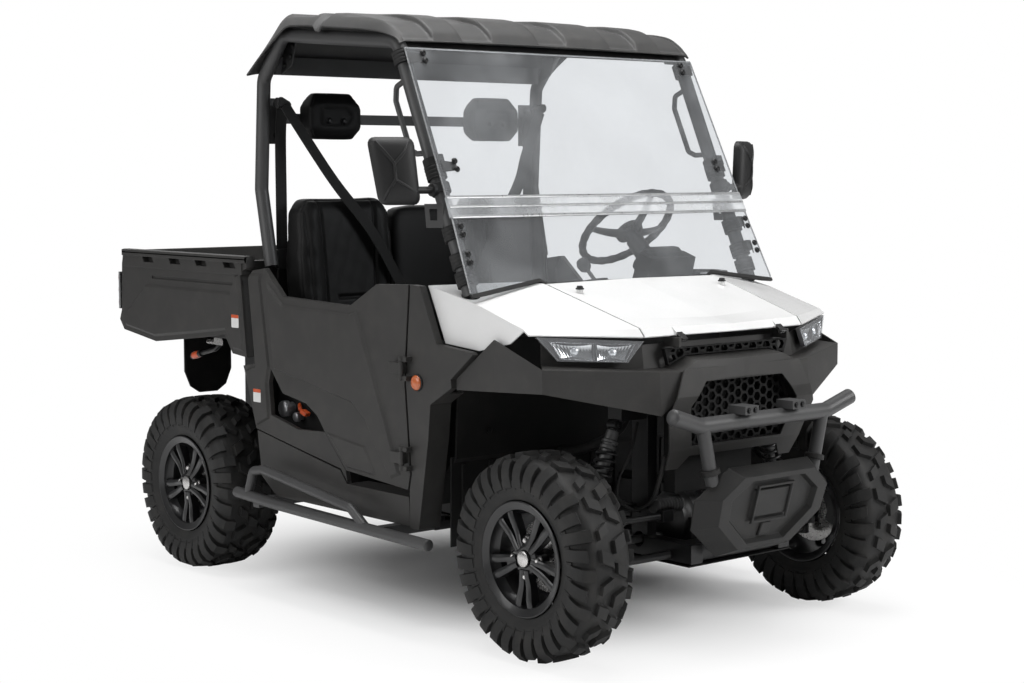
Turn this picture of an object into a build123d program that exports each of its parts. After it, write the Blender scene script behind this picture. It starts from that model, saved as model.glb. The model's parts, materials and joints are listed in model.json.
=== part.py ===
from build123d import *

import math
import os
from itertools import pairwise

# Side by side utility vehicle. Millimetres, +X forward, +Y the vehicle's left, +Z up. The origin is on the
# floor under the middle of the vehicle. Lengths in the tables below count from the front axle, heights from
# the floor, and widths ("out") from the middle plane, so both sides come from one set of numbers.

# Driving dimensions
TYRE_RADIUS = 318.0  # 25 inch tyre, to the lugs' tips
WHEELBASE = 1858.0
FRONT_AXLE_X = 987.5
FRONT_TYRE_WIDTH = 200.0
REAR_TYRE_WIDTH = 245.0
FRONT_TYRE_FACE = 727.0  # outer face of a front tyre, from the middle
REAR_TYRE_FACE = 752.0
RIM_RADIUS = 152.4  # 12 inch bead seat
RIM_LIP_RADIUS = 176.0
SIDE_FACE = 705.0  # outer face of the side cowls
DOOR_FACE = 714.0
BED_FACE = 715.0
PANEL = 5.0  # moulded body panel
SEAM = 6.0  # gap round a panel that opens
HUB_FACE = 690.0  # wheel mounting face, from the middle
HUB_RADIUS = 55.0
KINGPIN_OUT = 560.0
FLOOR_TOP = 392.0
SEAT_OUT = 376.0  # middle of each seat
TUBE = 24.0  # cage tube radius
CAGE_OUT = 637.0
CAGE_GAP = 5.0  # between the cage and what stands beside it
SIDE_BAR_GAP = 67.0  # middle of the side bar beyond the cowls
BED_FLOOR_TOP = 872.0
BED_WALL = 42.0
WINDOW = 5.0  # windscreen thickness
BORE_FIT = 0.05  # radial play of a turning fit
HINGE_RADIUS = 8.0  # barrels of the door and hood hinges
HINGE_PIN = 4.5

REAR_AXLE = -WHEELBASE
SEAT_HALF = CAGE_OUT - TUBE - CAGE_GAP - SEAT_OUT
TUB_OUT = CAGE_OUT - TUBE - 13.0

os.makedirs("parts", exist_ok=True)


def publish(name: str, piece: Part) -> None:
    piece.label = name
    export_step(piece, f"parts/{name}.step")


def both_sides(right: Part) -> Part:
    """The right-hand piece and its mirror image, as one node."""
    with BuildPart() as pair:
        add(right)
        mirror(about=Plane.XZ)
    return pair.part


def left_of(right: Part) -> Part:
    with BuildPart() as other:
        add(right)
        mirror(about=Plane.XZ, mode=Mode.REPLACE)
    return other.part


def at(x: float, y: float, z: float) -> tuple[float, float, float]:
    """A point given from the front axle, the middle plane and the floor."""
    return (FRONT_AXLE_X + x, y, z)


def side_plane(out: float) -> Plane:
    """Upright plane on the right side that faces out: sketch in (x from the front axle, height)."""
    return Plane(origin=at(0, -out, 0), x_dir=(1, 0, 0), z_dir=(0, -1, 0))


def cross_plane(x: float) -> Plane:
    """Upright plane that faces forward: sketch in (width, height)."""
    return Plane(origin=at(x, 0, 0), x_dir=(0, 1, 0), z_dir=(1, 0, 0))


def level_plane(z: float) -> Plane:
    """Level plane that faces up: sketch in (x from the front axle, width)."""
    return Plane(origin=at(0, 0, z), x_dir=(1, 0, 0), z_dir=(0, 0, 1))


def station(x: float, out: float, turn: float) -> Plane:
    """Upright section plane on the right side: sketch in (distance along its heading, height)."""
    heading = (math.cos(math.radians(turn)), -math.sin(math.radians(turn)), 0)
    return Plane(origin=at(x, -out, 0), x_dir=heading, z_dir=(heading[1], -heading[0], 0))


def slab(plane: Plane, outline: list, thickness: float, mode: Mode = Mode.ADD) -> None:
    with BuildSketch(plane) as face:
        with BuildLine():
            Polyline(*outline, close=True)
        make_face()
    extrude(face.sketch, amount=thickness, mode=mode)


def block(low: tuple, high: tuple, mode: Mode = Mode.ADD) -> None:
    """Upright box between two corners, x from the front axle."""
    with BuildSketch(level_plane(low[2])) as face:
        with Locations(((low[0] + high[0]) / 2, (low[1] + high[1]) / 2)):
            Rectangle(high[0] - low[0], high[1] - low[1])
    extrude(face.sketch, amount=high[2] - low[2], mode=mode)


def tube(route: list, radius: float, bend: float = 0.0, mode: Mode = Mode.ADD) -> None:
    with BuildLine() as path:
        if bend:
            FilletPolyline(*route, radius=bend)
        else:
            Polyline(*route)
    with BuildSketch(Plane(origin=path.line @ 0, z_dir=path.line % 0)) as ring:
        Circle(radius)
    sweep(ring.sketch, path=path.line, mode=mode)


def rod(start: tuple, end: tuple, radius: float, mode: Mode = Mode.ADD) -> None:
    direction = Vector(*end) - Vector(*start)
    with BuildSketch(Plane(origin=start, z_dir=direction)) as ring:
        Circle(radius)
    extrude(ring.sketch, amount=direction.length, mode=mode)


def faceted(rings: list, mode: Mode = Mode.ADD) -> None:
    """Solid of flat faces: each ring of points is joined to the next, and the end rings are closed."""
    faces = [Face(Wire.make_polygon(ring)) for ring in (rings[0], rings[-1])]
    for near, far in pairwise(rings):
        for corner, after in zip(range(len(near)), [*range(1, len(near)), 0]):
            faces.append(Face(Wire.make_polygon([near[corner], near[after], far[after], far[corner]])))
    add(Solid(Shell(faces)).fix(), mode=mode)


def shrunk(outline: list, amount: float) -> list:
    """The closed outline with each edge moved inwards."""
    closed = list(pairwise([*outline, outline[0]]))
    turn = math.copysign(1, sum(first[0] * second[1] - second[0] * first[1] for first, second in closed))
    normals = []
    for first, second in closed:
        length = math.dist(first, second)
        normals.append((turn * (first[1] - second[1]) / length, turn * (second[0] - first[0]) / length))
    inner = []
    for point, before, after in zip(outline, [normals[-1], *normals], normals):
        scale = amount / (1 + before[0] * after[0] + before[1] * after[1])
        inner.append((point[0] + scale * (before[0] + after[0]), point[1] + scale * (before[1] + after[1])))
    return inner


def emboss(plane: Plane, outline: list, slope: float, height: float, root: float = 1.0) -> None:
    """Raised panel with sloping sides on a face, or a recess in it where height is below zero.

    The slope is how far the sides lean in. The root is how far the form starts on the other side of the face.
    """
    start = -math.copysign(root, height)
    rings = [(outline, start), (outline, 0.0), (shrunk(outline, slope), height)]
    mode = Mode.ADD if height > 0 else Mode.SUBTRACT
    faceted([[plane.from_local_coords((u, v, w)) for u, v in ring] for ring, w in rings], mode)


def hexagons(plane: Plane, outline: list, margin: float, pitch: float, wall: float, depth: float) -> None:
    """Hexagonal holes in a plate, clipped to the outline less a margin."""
    columns = int(2 * max(across for across, _ in outline) / pitch) + 2
    rows = int((max(z for _, z in outline) - min(z for _, z in outline)) / pitch) + 4
    centre = (max(z for _, z in outline) + min(z for _, z in outline)) / 2
    with BuildSketch(plane) as holes:
        with Locations((0, centre)):
            with HexLocations(pitch / 2, columns, rows):
                RegularPolygon((pitch - wall) / 2, 6, major_radius=False)
        with BuildLine():
            Polyline(*shrunk(outline, margin), close=True)
        make_face(mode=Mode.INTERSECT)
    extrude(holes.sketch, amount=depth, mode=Mode.SUBTRACT)


def wall_outline(line: list, thickness: float) -> list:
    """Closed outline of a wall: the line, then back along it, thickness to the right of its travel."""
    inner = []
    for index, point in enumerate(line):
        before = line[max(index - 1, 0)]
        after = line[min(index + 1, len(line) - 1)]
        normals = []
        for first, second in ((before, point), (point, after)):
            length = math.dist(first, second)
            if length:
                normals.append(((second[1] - first[1]) / length, (first[0] - second[0]) / length))
        first, second = normals[0], normals[-1]
        scale = thickness / (1 + first[0] * second[0] + first[1] * second[1])
        inner.append((point[0] + scale * (first[0] + second[0]), point[1] + scale * (first[1] + second[1])))
    return list(line) + inner[::-1]


def mirrored(half: list) -> list:
    """Closed outline from its right-hand half, top to bottom."""
    return [(-across, z) for across, z in half] + list(reversed(half))


def skin(sections: list, thickness: float) -> None:
    """Faceted wall through sections of (plane, outer line), all with the same number of points."""
    faces = []
    for plane, line in sections:
        with BuildSketch(plane) as face:
            with BuildLine():
                Polyline(*wall_outline(line, thickness), close=True)
            make_face()
        faces.append(face.sketch)
    loft(faces, ruled=True)


# ---------------------------------------------------------------- chassis
RAIL_OUT = 200.0
RAIL_Z = 300.0
RAIL_SIZE = (50.0, 60.0)
SIDE_RAIL_OUT = 540.0
FRAME_REAR = REAR_AXLE - 382.0
FRAME_FRONT = 230.0
CAB_REAR = -1470.0  # behind the seats, where the bed's own frame begins
OUTRIGGERS = (-1330.0, -620.0)  # x of the arms that carry the side rails and bars
SIDE_BAR_OUT = SIDE_FACE + SIDE_BAR_GAP
SIDE_BAR_Z = 330.0
SIDE_BAR_RADIUS = 19.0
ARM_OUT = 226.0  # inner ends of the suspension arms

with BuildPart() as frame:
    low, high = RAIL_Z - RAIL_SIZE[1] / 2, RAIL_Z + RAIL_SIZE[1] / 2
    for side in (-1, 1):
        inner, outer = sorted((side * (RAIL_OUT - RAIL_SIZE[0] / 2), side * (RAIL_OUT + RAIL_SIZE[0] / 2)))
        block((FRAME_REAR, inner, low), (FRAME_FRONT, outer, high))
        inner, outer = sorted((side * (SIDE_RAIL_OUT - 20), side * (SIDE_RAIL_OUT + 20)))
        block((OUTRIGGERS[0] - 20, inner, RAIL_Z), (OUTRIGGERS[1] + 20, outer, RAIL_Z + 40))
        # Front towers, rear towers and the bed's sub-frame
        inner, outer = sorted((side * 180, side * 220))
        block((-35, inner, high), (35, outer, 760))
        block((REAR_AXLE - 35, inner, high), (REAR_AXLE + 35, outer, 700))
        block((FRAME_REAR, inner, high), (FRAME_REAR + 50, outer, 700))
        block((CAB_REAR - 50, inner, high), (CAB_REAR, outer, 700))
        block((FRAME_REAR, inner, 700), (CAB_REAR, outer, 750))
        inner, outer = sorted((side * 220, side * 330))
        block((-30, inner, 700), (30, outer, 760))
        block((REAR_AXLE - 30, inner, 640), (REAR_AXLE + 30, outer, 700))
    for x in (FRAME_REAR + 25, CAB_REAR - 30, -960, -300, 180):
        block((x - 25, -RAIL_OUT, low), (x + 25, RAIL_OUT, high))
    for x in OUTRIGGERS:
        block((x - 22, -(SIDE_RAIL_OUT + 20), RAIL_Z), (x + 22, SIDE_RAIL_OUT + 20, high))
    block((FRAME_REAR, -220, 700), (FRAME_REAR + 50, 220, 750))
    block((CAB_REAR - 50, -220, 700), (CAB_REAR, 220, 750))
    # Skid plate under the rails, turned up at the nose
    block((REAR_AXLE - 92, -215, low - 6), (150, 215, low))
    # Receiver for a tow bar, with its cross hole
    block((FRAME_REAR - 110, -31.75, 390), (FRAME_REAR + 20, 31.75, 453.5))
    block((FRAME_REAR - 110, -25.4, 396.35), (FRAME_REAR + 20, 25.4, 447.15), Mode.SUBTRACT)
    block((FRAME_REAR, -220, 340), (FRAME_REAR + 20, 220, 480))
    block((FRAME_REAR - 1, -25.4, 396.35), (FRAME_REAR + 21, 25.4, 447.15), Mode.SUBTRACT)
    rod(at(FRAME_REAR - 60, -40, 421.75), at(FRAME_REAR - 60, 40, 421.75), 8, Mode.SUBTRACT)
    # Holes where the drive shafts pass through
    for x in (0.0, REAR_AXLE):
        rod(at(x, -240, TYRE_RADIUS), at(x, 240, TYRE_RADIUS), 24, Mode.SUBTRACT)
publish("frame", frame.part)

with BuildPart() as engine:
    block((REAR_AXLE + 68, -150, 336), (REAR_AXLE + 318, 150, 640))
    block((REAR_AXLE + 318, -110, 336), (REAR_AXLE + 412, 110, 520))
    block((REAR_AXLE - 90, -80, 336), (REAR_AXLE + 68, 80, 440))
publish("engine", engine.part)

with BuildPart() as muffler:
    rod(at(REAR_AXLE - 262, -160, 600), at(REAR_AXLE - 262, 160, 600), 72)
    rod(at(REAR_AXLE - 262, 120, 540), at(FRAME_REAR - 20, 120, 510), 18)
publish("muffler", muffler.part)

with BuildPart() as radiator:
    block((60, -175, 470), (110, 175, 850))
publish("radiator", radiator.part)

# ---------------------------------------------------------------- cabin tub
FLOOR_LINE = ((-960.0, FLOOR_TOP), (-600.0, FLOOR_TOP), (-450.0, 560.0), (-432.0, 926.0))
SEAT_BOX = ((-1440.0, 770.0), (-962.0, 770.0))  # top corners
REAR_WALL_TOP = 1120.0

with BuildPart() as tub_floor:
    with BuildSketch(side_plane(-TUB_OUT)) as face:
        with BuildLine():
            Polyline(*wall_outline(list(FLOOR_LINE), 8.0), close=True)
        make_face()
    extrude(face.sketch, amount=2 * TUB_OUT)
publish("floor", tub_floor.part)

with BuildPart() as seat_box:
    (rear_x, box_top), (front_x, _) = SEAT_BOX
    block((rear_x, -TUB_OUT, FLOOR_TOP - 8), (front_x, TUB_OUT, box_top))
    block((rear_x + 8, -TUB_OUT + 8, FLOOR_TOP - 9), (front_x - 8, TUB_OUT - 8, box_top - 8), Mode.SUBTRACT)
    block((rear_x, -TUB_OUT, box_top), (rear_x + 8, TUB_OUT, REAR_WALL_TOP))
publish("seat_box", seat_box.part)

with BuildPart() as dashboard:
    dash_line = [(-425, 930), (-425, 1085), (-470, 1098), (-545, 1080), (-575, 1010), (-560, 930)]
    slab(side_plane(-590), dash_line, 1180)
    block((-430, -470, 1070), (-300, 470, 1090))
    binnacle = [(-460, 1090), (-440, 1165), (-500, 1185), (-540, 1075)]
    slab(side_plane(-(SEAT_OUT + 110)), binnacle, 220)
publish("dashboard", dashboard.part)

# ---------------------------------------------------------------- cage
FRONT_FOOT = (-322.0, 1080.0)
FRONT_BEND = (-684.0, 1880.0)
REAR_TOP_BEND = (-1330.0, 1932.0)
REAR_MID_BEND = (-1454.0, 1785.0)
REAR_LOW_BEND = (-1476.0, 1400.0)
REAR_FOOT = (-1418.0, 1132.0)
CAGE_LINE = (FRONT_FOOT, FRONT_BEND, REAR_TOP_BEND, REAR_MID_BEND, REAR_LOW_BEND, REAR_FOOT)

HANDLE_LINE = ((-632, 1762), (-694, 1735), (-697, 1690), (-624, 1534), (-590, 1521), (-530, 1524))
BRACKET = [(-523, 1364), (-428, 1366), (-428, 1291), (-513, 1289)]
BRACKET_HOLE = [(-498, 1349), (-458, 1349), (-458, 1313), (-493, 1313)]

with BuildPart() as cage_right:
    tube([at(x, -CAGE_OUT, z) for x, z in CAGE_LINE], TUBE, 55)
    # Grab handle behind the windscreen post, and a bracket with a square hole on it
    tube([at(x, -CAGE_OUT, z) for x, z in HANDLE_LINE], 9, 16)
    slab(side_plane(CAGE_OUT + TUBE - 6), BRACKET, 6)
    slab(side_plane(CAGE_OUT + TUBE - 6), BRACKET_HOLE, 6, Mode.SUBTRACT)
publish("cage_right", cage_right.part)
publish("cage_left", left_of(cage_right.part))

CROSS_END = CAGE_OUT - TUBE - 0.3
with BuildPart() as cage_bars:
    # Flat upper bar, tube behind the heads, tube over the windscreen, low bar behind the seats
    block((-1430, -CROSS_END, 1800), (-1414, CROSS_END, 1862))
    block((-1478, -CROSS_END, 1632), (-1462, CROSS_END, 1668))
    block((-1466, -CROSS_END, 1560), (-1462, -CROSS_END + 60, 1720))
    block((-1466, CROSS_END - 60, 1560), (-1462, CROSS_END, 1720))
    rod(at(-700, -CROSS_END, 1885), at(-700, CROSS_END, 1885), 16)
publish("cage_bars", cage_bars.part)

# x and height, rear to front, at the roof's edge, its shoulder and its middle
ROOF_SECTIONS = (
    (690.0, ((-1484, 1800), (-1400, 1862), (-1240, 1957), (-1127, 1952), (-820, 1925), (-727, 1911),
             (-665, 1890), (-648, 1872))),
    (640.0, ((-1486, 1808), (-1415, 1904), (-1330, 1982), (-1290, 1997), (-820, 1972), (-730, 1954),
             (-668, 1912), (-650, 1880))),
    (0.0, ((-1486, 1814), (-1415, 1910), (-1330, 1988), (-1290, 2002), (-820, 1978), (-730, 1960),
             (-668, 1918), (-650, 1886))),
)
# Raised fields on the right half of the top: they leave scoops in the front slope and a groove across
ROOF_TOP = Plane(origin=at(-820, -320, 1975), x_dir=(1, 0, -0.0532), z_dir=(0.0532, -0.0094, 1))
ROOF_PAD = 6.0
ROOF_RUNS = ((-465, -288), (-252, 84))  # along the top plane, behind and before the groove
ROOF_BANDS = ((-260, -81), (52, 258))  # across it
with BuildPart() as roof:
    skin([(side_plane(out), line) for out, line in ROOF_SECTIONS], ROOF_PAD)
    for rear, front in ROOF_RUNS:
        for outer, inner in ROOF_BANDS:
            field = [(rear, outer), (front, outer), (front, inner), (rear, inner)]
            emboss(ROOF_TOP, field, 9, ROOF_PAD, ROOF_PAD - 1)
    mirror(about=Plane.XZ)
publish("roof", roof.part)

# ---------------------------------------------------------------- windscreen
SCREEN_FOOT = (-268.0, 1091.0)
SCREEN_HEAD = (-637.0, 1856.0)
SCREEN_RUN = math.dist(SCREEN_FOOT, SCREEN_HEAD)
SCREEN_UP = ((SCREEN_HEAD[0] - SCREEN_FOOT[0]) / SCREEN_RUN, (SCREEN_HEAD[1] - SCREEN_FOOT[1]) / SCREEN_RUN)
SCREEN_PLANE = Plane(
    origin=at(SCREEN_FOOT[0], 0, SCREEN_FOOT[1]), x_dir=(0, 1, 0), z_dir=(SCREEN_UP[1], 0, -SCREEN_UP[0])
)
LOWER_TOP = 256.0  # up the slope
UPPER_FOOT = 327.0

with BuildPart() as windscreen:
    slab(SCREEN_PLANE, [*mirrored([(668, LOWER_TOP), (685, 0), (640, 6), (392, 41), (366, 25)])], WINDOW)
    slab(SCREEN_PLANE, [(-666, UPPER_FOOT), (666, UPPER_FOOT), (650, SCREEN_RUN), (-650, SCREEN_RUN)], WINDOW)
publish("windscreen", windscreen.part)

with BuildPart() as channel:
    rail = [(-672, LOWER_TOP + 1), (672, LOWER_TOP + 1), (668, UPPER_FOOT - 1), (-668, UPPER_FOOT - 1)]
    slab(SCREEN_PLANE.offset(-3), rail, WINDOW + 6)
publish("screen_channel", channel.part)

CLAMPS = (118.0, 210.0, 448.0, 818.0)  # up the slope
CLAMP_WIDTH = 34.0
foot, bend = Vector(*FRONT_FOOT), Vector(*FRONT_BEND)
post_up = (bend - foot).normalized()
with BuildPart() as clamps:
    for side in (-1, 1):
        for height in CLAMPS:
            centre = foot + post_up * height
            ring_plane = Plane(
                origin=at(centre.X, side * CAGE_OUT, centre.Y),
                x_dir=(post_up.Y, 0, -post_up.X),
                z_dir=(post_up.X, 0, post_up.Y),
            )
            reach = (SCREEN_FOOT[0] - centre.X) * SCREEN_UP[1] - (SCREEN_FOOT[1] - centre.Y) * SCREEN_UP[0] - 0.5
            with BuildSketch(ring_plane.offset(-CLAMP_WIDTH / 2)) as ring:
                Circle(TUBE + 7)
                with Locations((reach / 2, 0)):
                    Rectangle(reach, 26)
                Circle(TUBE + 0.3, mode=Mode.SUBTRACT)
            extrude(ring.sketch, amount=CLAMP_WIDTH)
    seal = [(366, 24), (392, 40), (640, 5), (685, -1), (685, -12), (640, -8), (392, 28), (366, 12)]
    slab(SCREEN_PLANE.offset(-2), mirrored(seal), WINDOW + 4)
publish("screen_clamps", clamps.part)

# ---------------------------------------------------------------- nose
# Front skin from the middle to the corner: height and distance along each station's heading
HOOD_HINGE = (190.0, 960.0)
HOOD_LUG_OUT = 226.0
NOSE_SECTIONS = (
    (0, 0, 0, ((140, 948), (146, 905), (232, 893), (240, 835))),
    (0, 190, 0, ((138, 948), (144, 905), (222, 896), (236, 835))),
    (0, 263, 0, ((130, 946), (138, 872), (224, 866), (232, 800))),
    (124, 338, 0, ((0, 945), (10, 872), (76, 868), (88, 735))),
    (-14, 624, 38, ((0, 965), (10, 893), (80, 884), (80, 812))),
)
# Side skin over the wheel, from the corner back
FLARE_SECTIONS = (
    (-14, 624, 38, ((80, 884), (80, 812))),
    (-152, 0, 90, ((690, 961), (690, 803))),
    (-329, 0, 90, ((690, 830), (690, 794))),
)
SURROUND_FACE = [(232, 872), (244, 790), (240, 754), (205, 623), (175, 561)]
SURROUND = [(263, 872), (329, 735), (300, 640), (282, 561), (232, 561), (200, 600)]
SURROUND_HOLE = [(173, 831), (243, 754), (203, 632)]


with BuildPart() as fascia:
    slab(side_plane(-330), wall_outline(SURROUND_FACE, PANEL), 660)
    slab(cross_plane(100), mirrored(SURROUND), 200, Mode.INTERSECT)
    slab(cross_plane(100), mirrored(SURROUND_HOLE), 200, Mode.SUBTRACT)
    skin([(station(x, out, turn), line) for x, out, turn, line in NOSE_SECTIONS], PANEL)
    skin([(station(x, out, turn), line) for x, out, turn, line in FLARE_SECTIONS], PANEL)
    block((HOOD_HINGE[0] - 62, -HOOD_LUG_OUT - 24, HOOD_HINGE[1] - 24),
          (HOOD_HINGE[0] + 6, -HOOD_LUG_OUT - 14, HOOD_HINGE[1] + 6))
    rod(at(HOOD_HINGE[0], -HOOD_LUG_OUT - 15, HOOD_HINGE[1]), at(HOOD_HINGE[0], -HOOD_LUG_OUT + 14, HOOD_HINGE[1]),
        HINGE_PIN)
    mirror(about=Plane.XZ)
publish("fascia", fascia.part)

HEX_PITCH = 38.0  # across the grilles' cells
HEX_WALL = 8.0
UPPER_GRILLE = mirrored([(280, 932), (262, 880), (190, 906)])
LOWER_GRILLE = mirrored([(200, 845), (250, 754), (215, 625)])

with BuildPart() as upper_grille:
    slab(cross_plane(150), UPPER_GRILLE, 14)
    hexagons(cross_plane(150), UPPER_GRILLE, 4, HEX_PITCH, HEX_WALL, 14)
publish("upper_grille", upper_grille.part)

with BuildPart() as lower_grille:
    slab(cross_plane(186), LOWER_GRILLE, 10)
    hexagons(cross_plane(186), LOWER_GRILLE, 10, HEX_PITCH - 4, HEX_WALL, 10)
publish("lower_grille", lower_grille.part)

LAMP_PLANE = Plane(origin=at(-2, -656, 980), x_dir=(0.448, 0.894, 0), z_dir=(0.894, -0.448, 0.095))
LAMP_CELLS = ([(80, -68), (48, -20), (176, -27), (178, -76)], [(190, -77), (188, -28), (304, -31), (276, -80)])
with BuildPart() as lamp_right:
    slab(LAMP_PLANE.offset(-14), [(2, -3), (67, -76), (285, -86), (337, -22)], 14)
    for cell in LAMP_CELLS:
        emboss(LAMP_PLANE, cell, 9, -10)
publish("headlamps", both_sides(lamp_right.part))

SEAM_TURN = -3.84  # the hood's sides spread a little to the rear
with BuildPart() as hood:
    skin(
        [
            (side_plane(0), ((-258, 1117), (100, 1012), (182, 996), (196, 974))),
            (station(0, 366, SEAM_TURN), ((-257, 1113), (60, 1020), (136, 997), (157, 971))),
        ],
        PANEL,
    )
    hinge_x, hinge_z = HOOD_HINGE
    with BuildSketch(side_plane(HOOD_LUG_OUT - 12)) as lug:
        with BuildLine():
            Polyline((138, 996), (153, 995), (hinge_x + 9, hinge_z + 2), (hinge_x, hinge_z - 9),
                     (hinge_x - 9, hinge_z - 4), (160, 975), close=True)
        make_face()
    extrude(lug.sketch, amount=24)
    rod(at(hinge_x, -HOOD_LUG_OUT + 12, hinge_z), at(hinge_x, -HOOD_LUG_OUT - 12, hinge_z), HINGE_PIN + BORE_FIT,
        Mode.SUBTRACT)
    rod(at(-165, -325, 1080), at(-165, -325, 1104), 10)
    mirror(about=Plane.XZ)
publish("hood", hood.part)

with BuildPart() as fender_right:
    skin(
        [
            (station(0, 366 + SEAM, SEAM_TURN), ((-330, 1118), (-262, 1114), (136, 997), (157, 971))),
            (side_plane(672), ((-489, 1109), (-262, 1064), (-35, 998), (-12, 984))),
        ],
        PANEL,
    )
    side = [(-489, 1106), (-262, 1060), (-35, 994), (-98, 951), (-242, 920), (-405, 932)]
    slab(side_plane(672 - PANEL), side, PANEL)
    foot_x, foot_z = FRONT_FOOT
    bend_x, bend_z = FRONT_BEND
    lean = (bend_x - foot_x) / (bend_z - foot_z)
    rod(at(foot_x - 100 * lean, -CAGE_OUT, foot_z - 100), at(foot_x + 100 * lean, -CAGE_OUT, foot_z + 100),
        TUBE + 4, Mode.SUBTRACT)
publish("fenders", both_sides(fender_right.part))

# ---------------------------------------------------------------- doors and side cowls
DOOR_THICK = 28.0
RELIEF = 8.0  # the panels' flat faces stand this far out of their edges
DOOR_GAP = SEAM + 2  # the door swings into this
DOOR_FRONT = ((-548, 1110), (-568, 870), (-572, 793), (-545, 507), (-556, 455))
DOOR_REAR = ((-889, 478), (-1012, 598), (-1052, 644), (-1117, 680), (-1257, 702), (-1331, 785), (-1382, 1084))
DOOR_TOP = ((-1362, 1130), (-1252, 1037), (-862, 1026), (-716, 1104))
HINGE_X = -560.0
HINGE_OUT = 728.0
HINGE_HEIGHTS = (558.0, 845.0)
BARREL_HALF = 22.0
LUG_RUN = 28.0  # from a hinge's pin forward along the cowl
LUG_FOOT = 20.0  # from the pin forward to where the lug stands on the cowl, clear of the door's edge

DOOR_PANEL = [(-1350, 1084), (-1248, 1010), (-862, 1001), (-828, 1012), (-780, 912), (-672, 682), (-592, 498),
              (-646, 480), (-715, 560), (-783, 658), (-850, 705), (-1308, 782)]
DOOR_LIP = [(-1000, 596), (-782, 571), (-726, 480), (-880, 488)]

with BuildPart() as door:
    door_base = DOOR_FACE - RELIEF
    slab(side_plane(DOOR_FACE - DOOR_THICK), [*DOOR_FRONT, *DOOR_REAR, *DOOR_TOP], DOOR_THICK - RELIEF)
    emboss(side_plane(door_base), DOOR_PANEL, 9, RELIEF)
    emboss(side_plane(door_base), DOOR_LIP, 6, RELIEF - 3)
    for z in HINGE_HEIGHTS:
        low, high = z - BARREL_HALF, z + BARREL_HALF
        block((HINGE_X - 62, -HINGE_OUT - 2, low + 4), (HINGE_X, -door_base + 1, high - 4))
        rod(at(HINGE_X, -HINGE_OUT, low), at(HINGE_X, -HINGE_OUT, high), HINGE_RADIUS)
        rod(at(HINGE_X, -HINGE_OUT, low), at(HINGE_X, -HINGE_OUT, high), HINGE_PIN + BORE_FIT, Mode.SUBTRACT)
publish("door_right", door.part)
publish("door_left", left_of(door.part))

ARCH_DEPTH = 85.0  # the wheel arch's lip, from the cowl's face inwards
with BuildPart() as front_cowl:
    back = [(x + DOOR_GAP, z) for x, z in DOOR_FRONT]
    arch = [(-501, 333), (-453, 622), (-441, 739), (-336, 800), (-340, 826), (-236, 908), (-245, 917)]
    slab(side_plane(SIDE_FACE - 25), [*back, (-545, 333), *arch, (-408, 930), (-492, 1108)], 25)
    slab(side_plane(SIDE_FACE - ARCH_DEPTH), wall_outline([(-380, 775), *arch[2::-1]], PANEL), ARCH_DEPTH - 24)
    for z in HINGE_HEIGHTS:
        lug = BARREL_HALF + 16
        rod(at(HINGE_X, -HINGE_OUT, z - lug), at(HINGE_X, -HINGE_OUT, z + lug), HINGE_PIN)
        for low in (z - lug, z + BARREL_HALF + 1):
            rod(at(HINGE_X, -HINGE_OUT, low), at(HINGE_X, -HINGE_OUT, low + 15), HINGE_RADIUS)
            block((HINGE_X, -HINGE_OUT - 2, low), (HINGE_X + LUG_RUN, -HINGE_OUT + 5, low + 15))
            block((HINGE_X + LUG_FOOT, -HINGE_OUT, low), (HINGE_X + LUG_RUN, -SIDE_FACE + 2, low + 15))
publish("front_cowls", both_sides(front_cowl.part))

REAR_COWL_PANEL = [(-1473, 1084), (-1452, 1106), (-1388, 1106), (-1398, 1084), (-1348, 786),
                   (-1363, 730), (-1351, 606), (-1428, 572), (-1499, 762), (-1434, 784)]
with BuildPart() as rear_cowl:
    seam = [(-1370, 1129), (-1390, 1084), (-1339, 785), (-1355, 731), (-1342, 618)]
    foot = [(-1178, 584), (-1021, 592), (-905, 476), (-895, 437), (-932, 478), (-1165, 516), (-1436, 562)]
    rear = [(-1508, 761), (-1515, 778), (-1441, 790), (-1480, 1090), (-1450, 1118)]
    slab(side_plane(SIDE_FACE - 25), [*seam, *foot, *rear], 25 - RELIEF)
    emboss(side_plane(SIDE_FACE - RELIEF), REAR_COWL_PANEL, 6, RELIEF)
publish("rear_cowls", both_sides(rear_cowl.part))

with BuildPart() as rocker:
    top = [(-1430, 557), (-1165, 511), (-936, 472), (-900, 431), (-562, 431)]
    rocker_in = SIDE_FACE - 30
    slab(side_plane(rocker_in), [*top, (-555, 336), (-1315, 336), (-1404, 396)], 22)
    block((-900, -rocker_in - 22, 419), (-562, -TUB_OUT - 5, 431))
publish("rockers", both_sides(rocker.part))

with BuildPart() as side_bar:
    run = ((-1449, SIDE_BAR_Z + 12), (-1219, SIDE_BAR_Z), (-370, 312))
    tube([at(x, -SIDE_BAR_OUT, z) for x, z in run], SIDE_BAR_RADIUS, 60)
    hoop = ((-1384, SIDE_BAR_Z + 8), (-1350, 428), (-1285, 439), (-780, 375), (-700, 322))
    tube([at(x, -SIDE_BAR_OUT + 3, z) for x, z in hoop], SIDE_BAR_RADIUS - 3, 22)
    for x in OUTRIGGERS:
        block((x - 18, -SIDE_BAR_OUT, 302), (x + 18, -SIDE_RAIL_OUT - 21, 336))
publish("side_bars", both_sides(side_bar.part))

# ---------------------------------------------------------------- front bar and winch cover
BAR_X = 318.0
with BuildPart() as front_bar:
    tube([at(BAR_X + 4, -402, 748), at(BAR_X, -288, 712), at(BAR_X, 288, 712), at(BAR_X + 4, 402, 748)], 25, 60)
    for side in (-1, 1):
        tube([at(BAR_X, side * 274, 712), at(BAR_X, side * 229, 528)], 21)
        inner, outer = sorted((side * 78, side * 138))
        block((BAR_X - 20, inner, 736), (BAR_X + 48, outer, 762))
publish("front_bar", front_bar.part)

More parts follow.
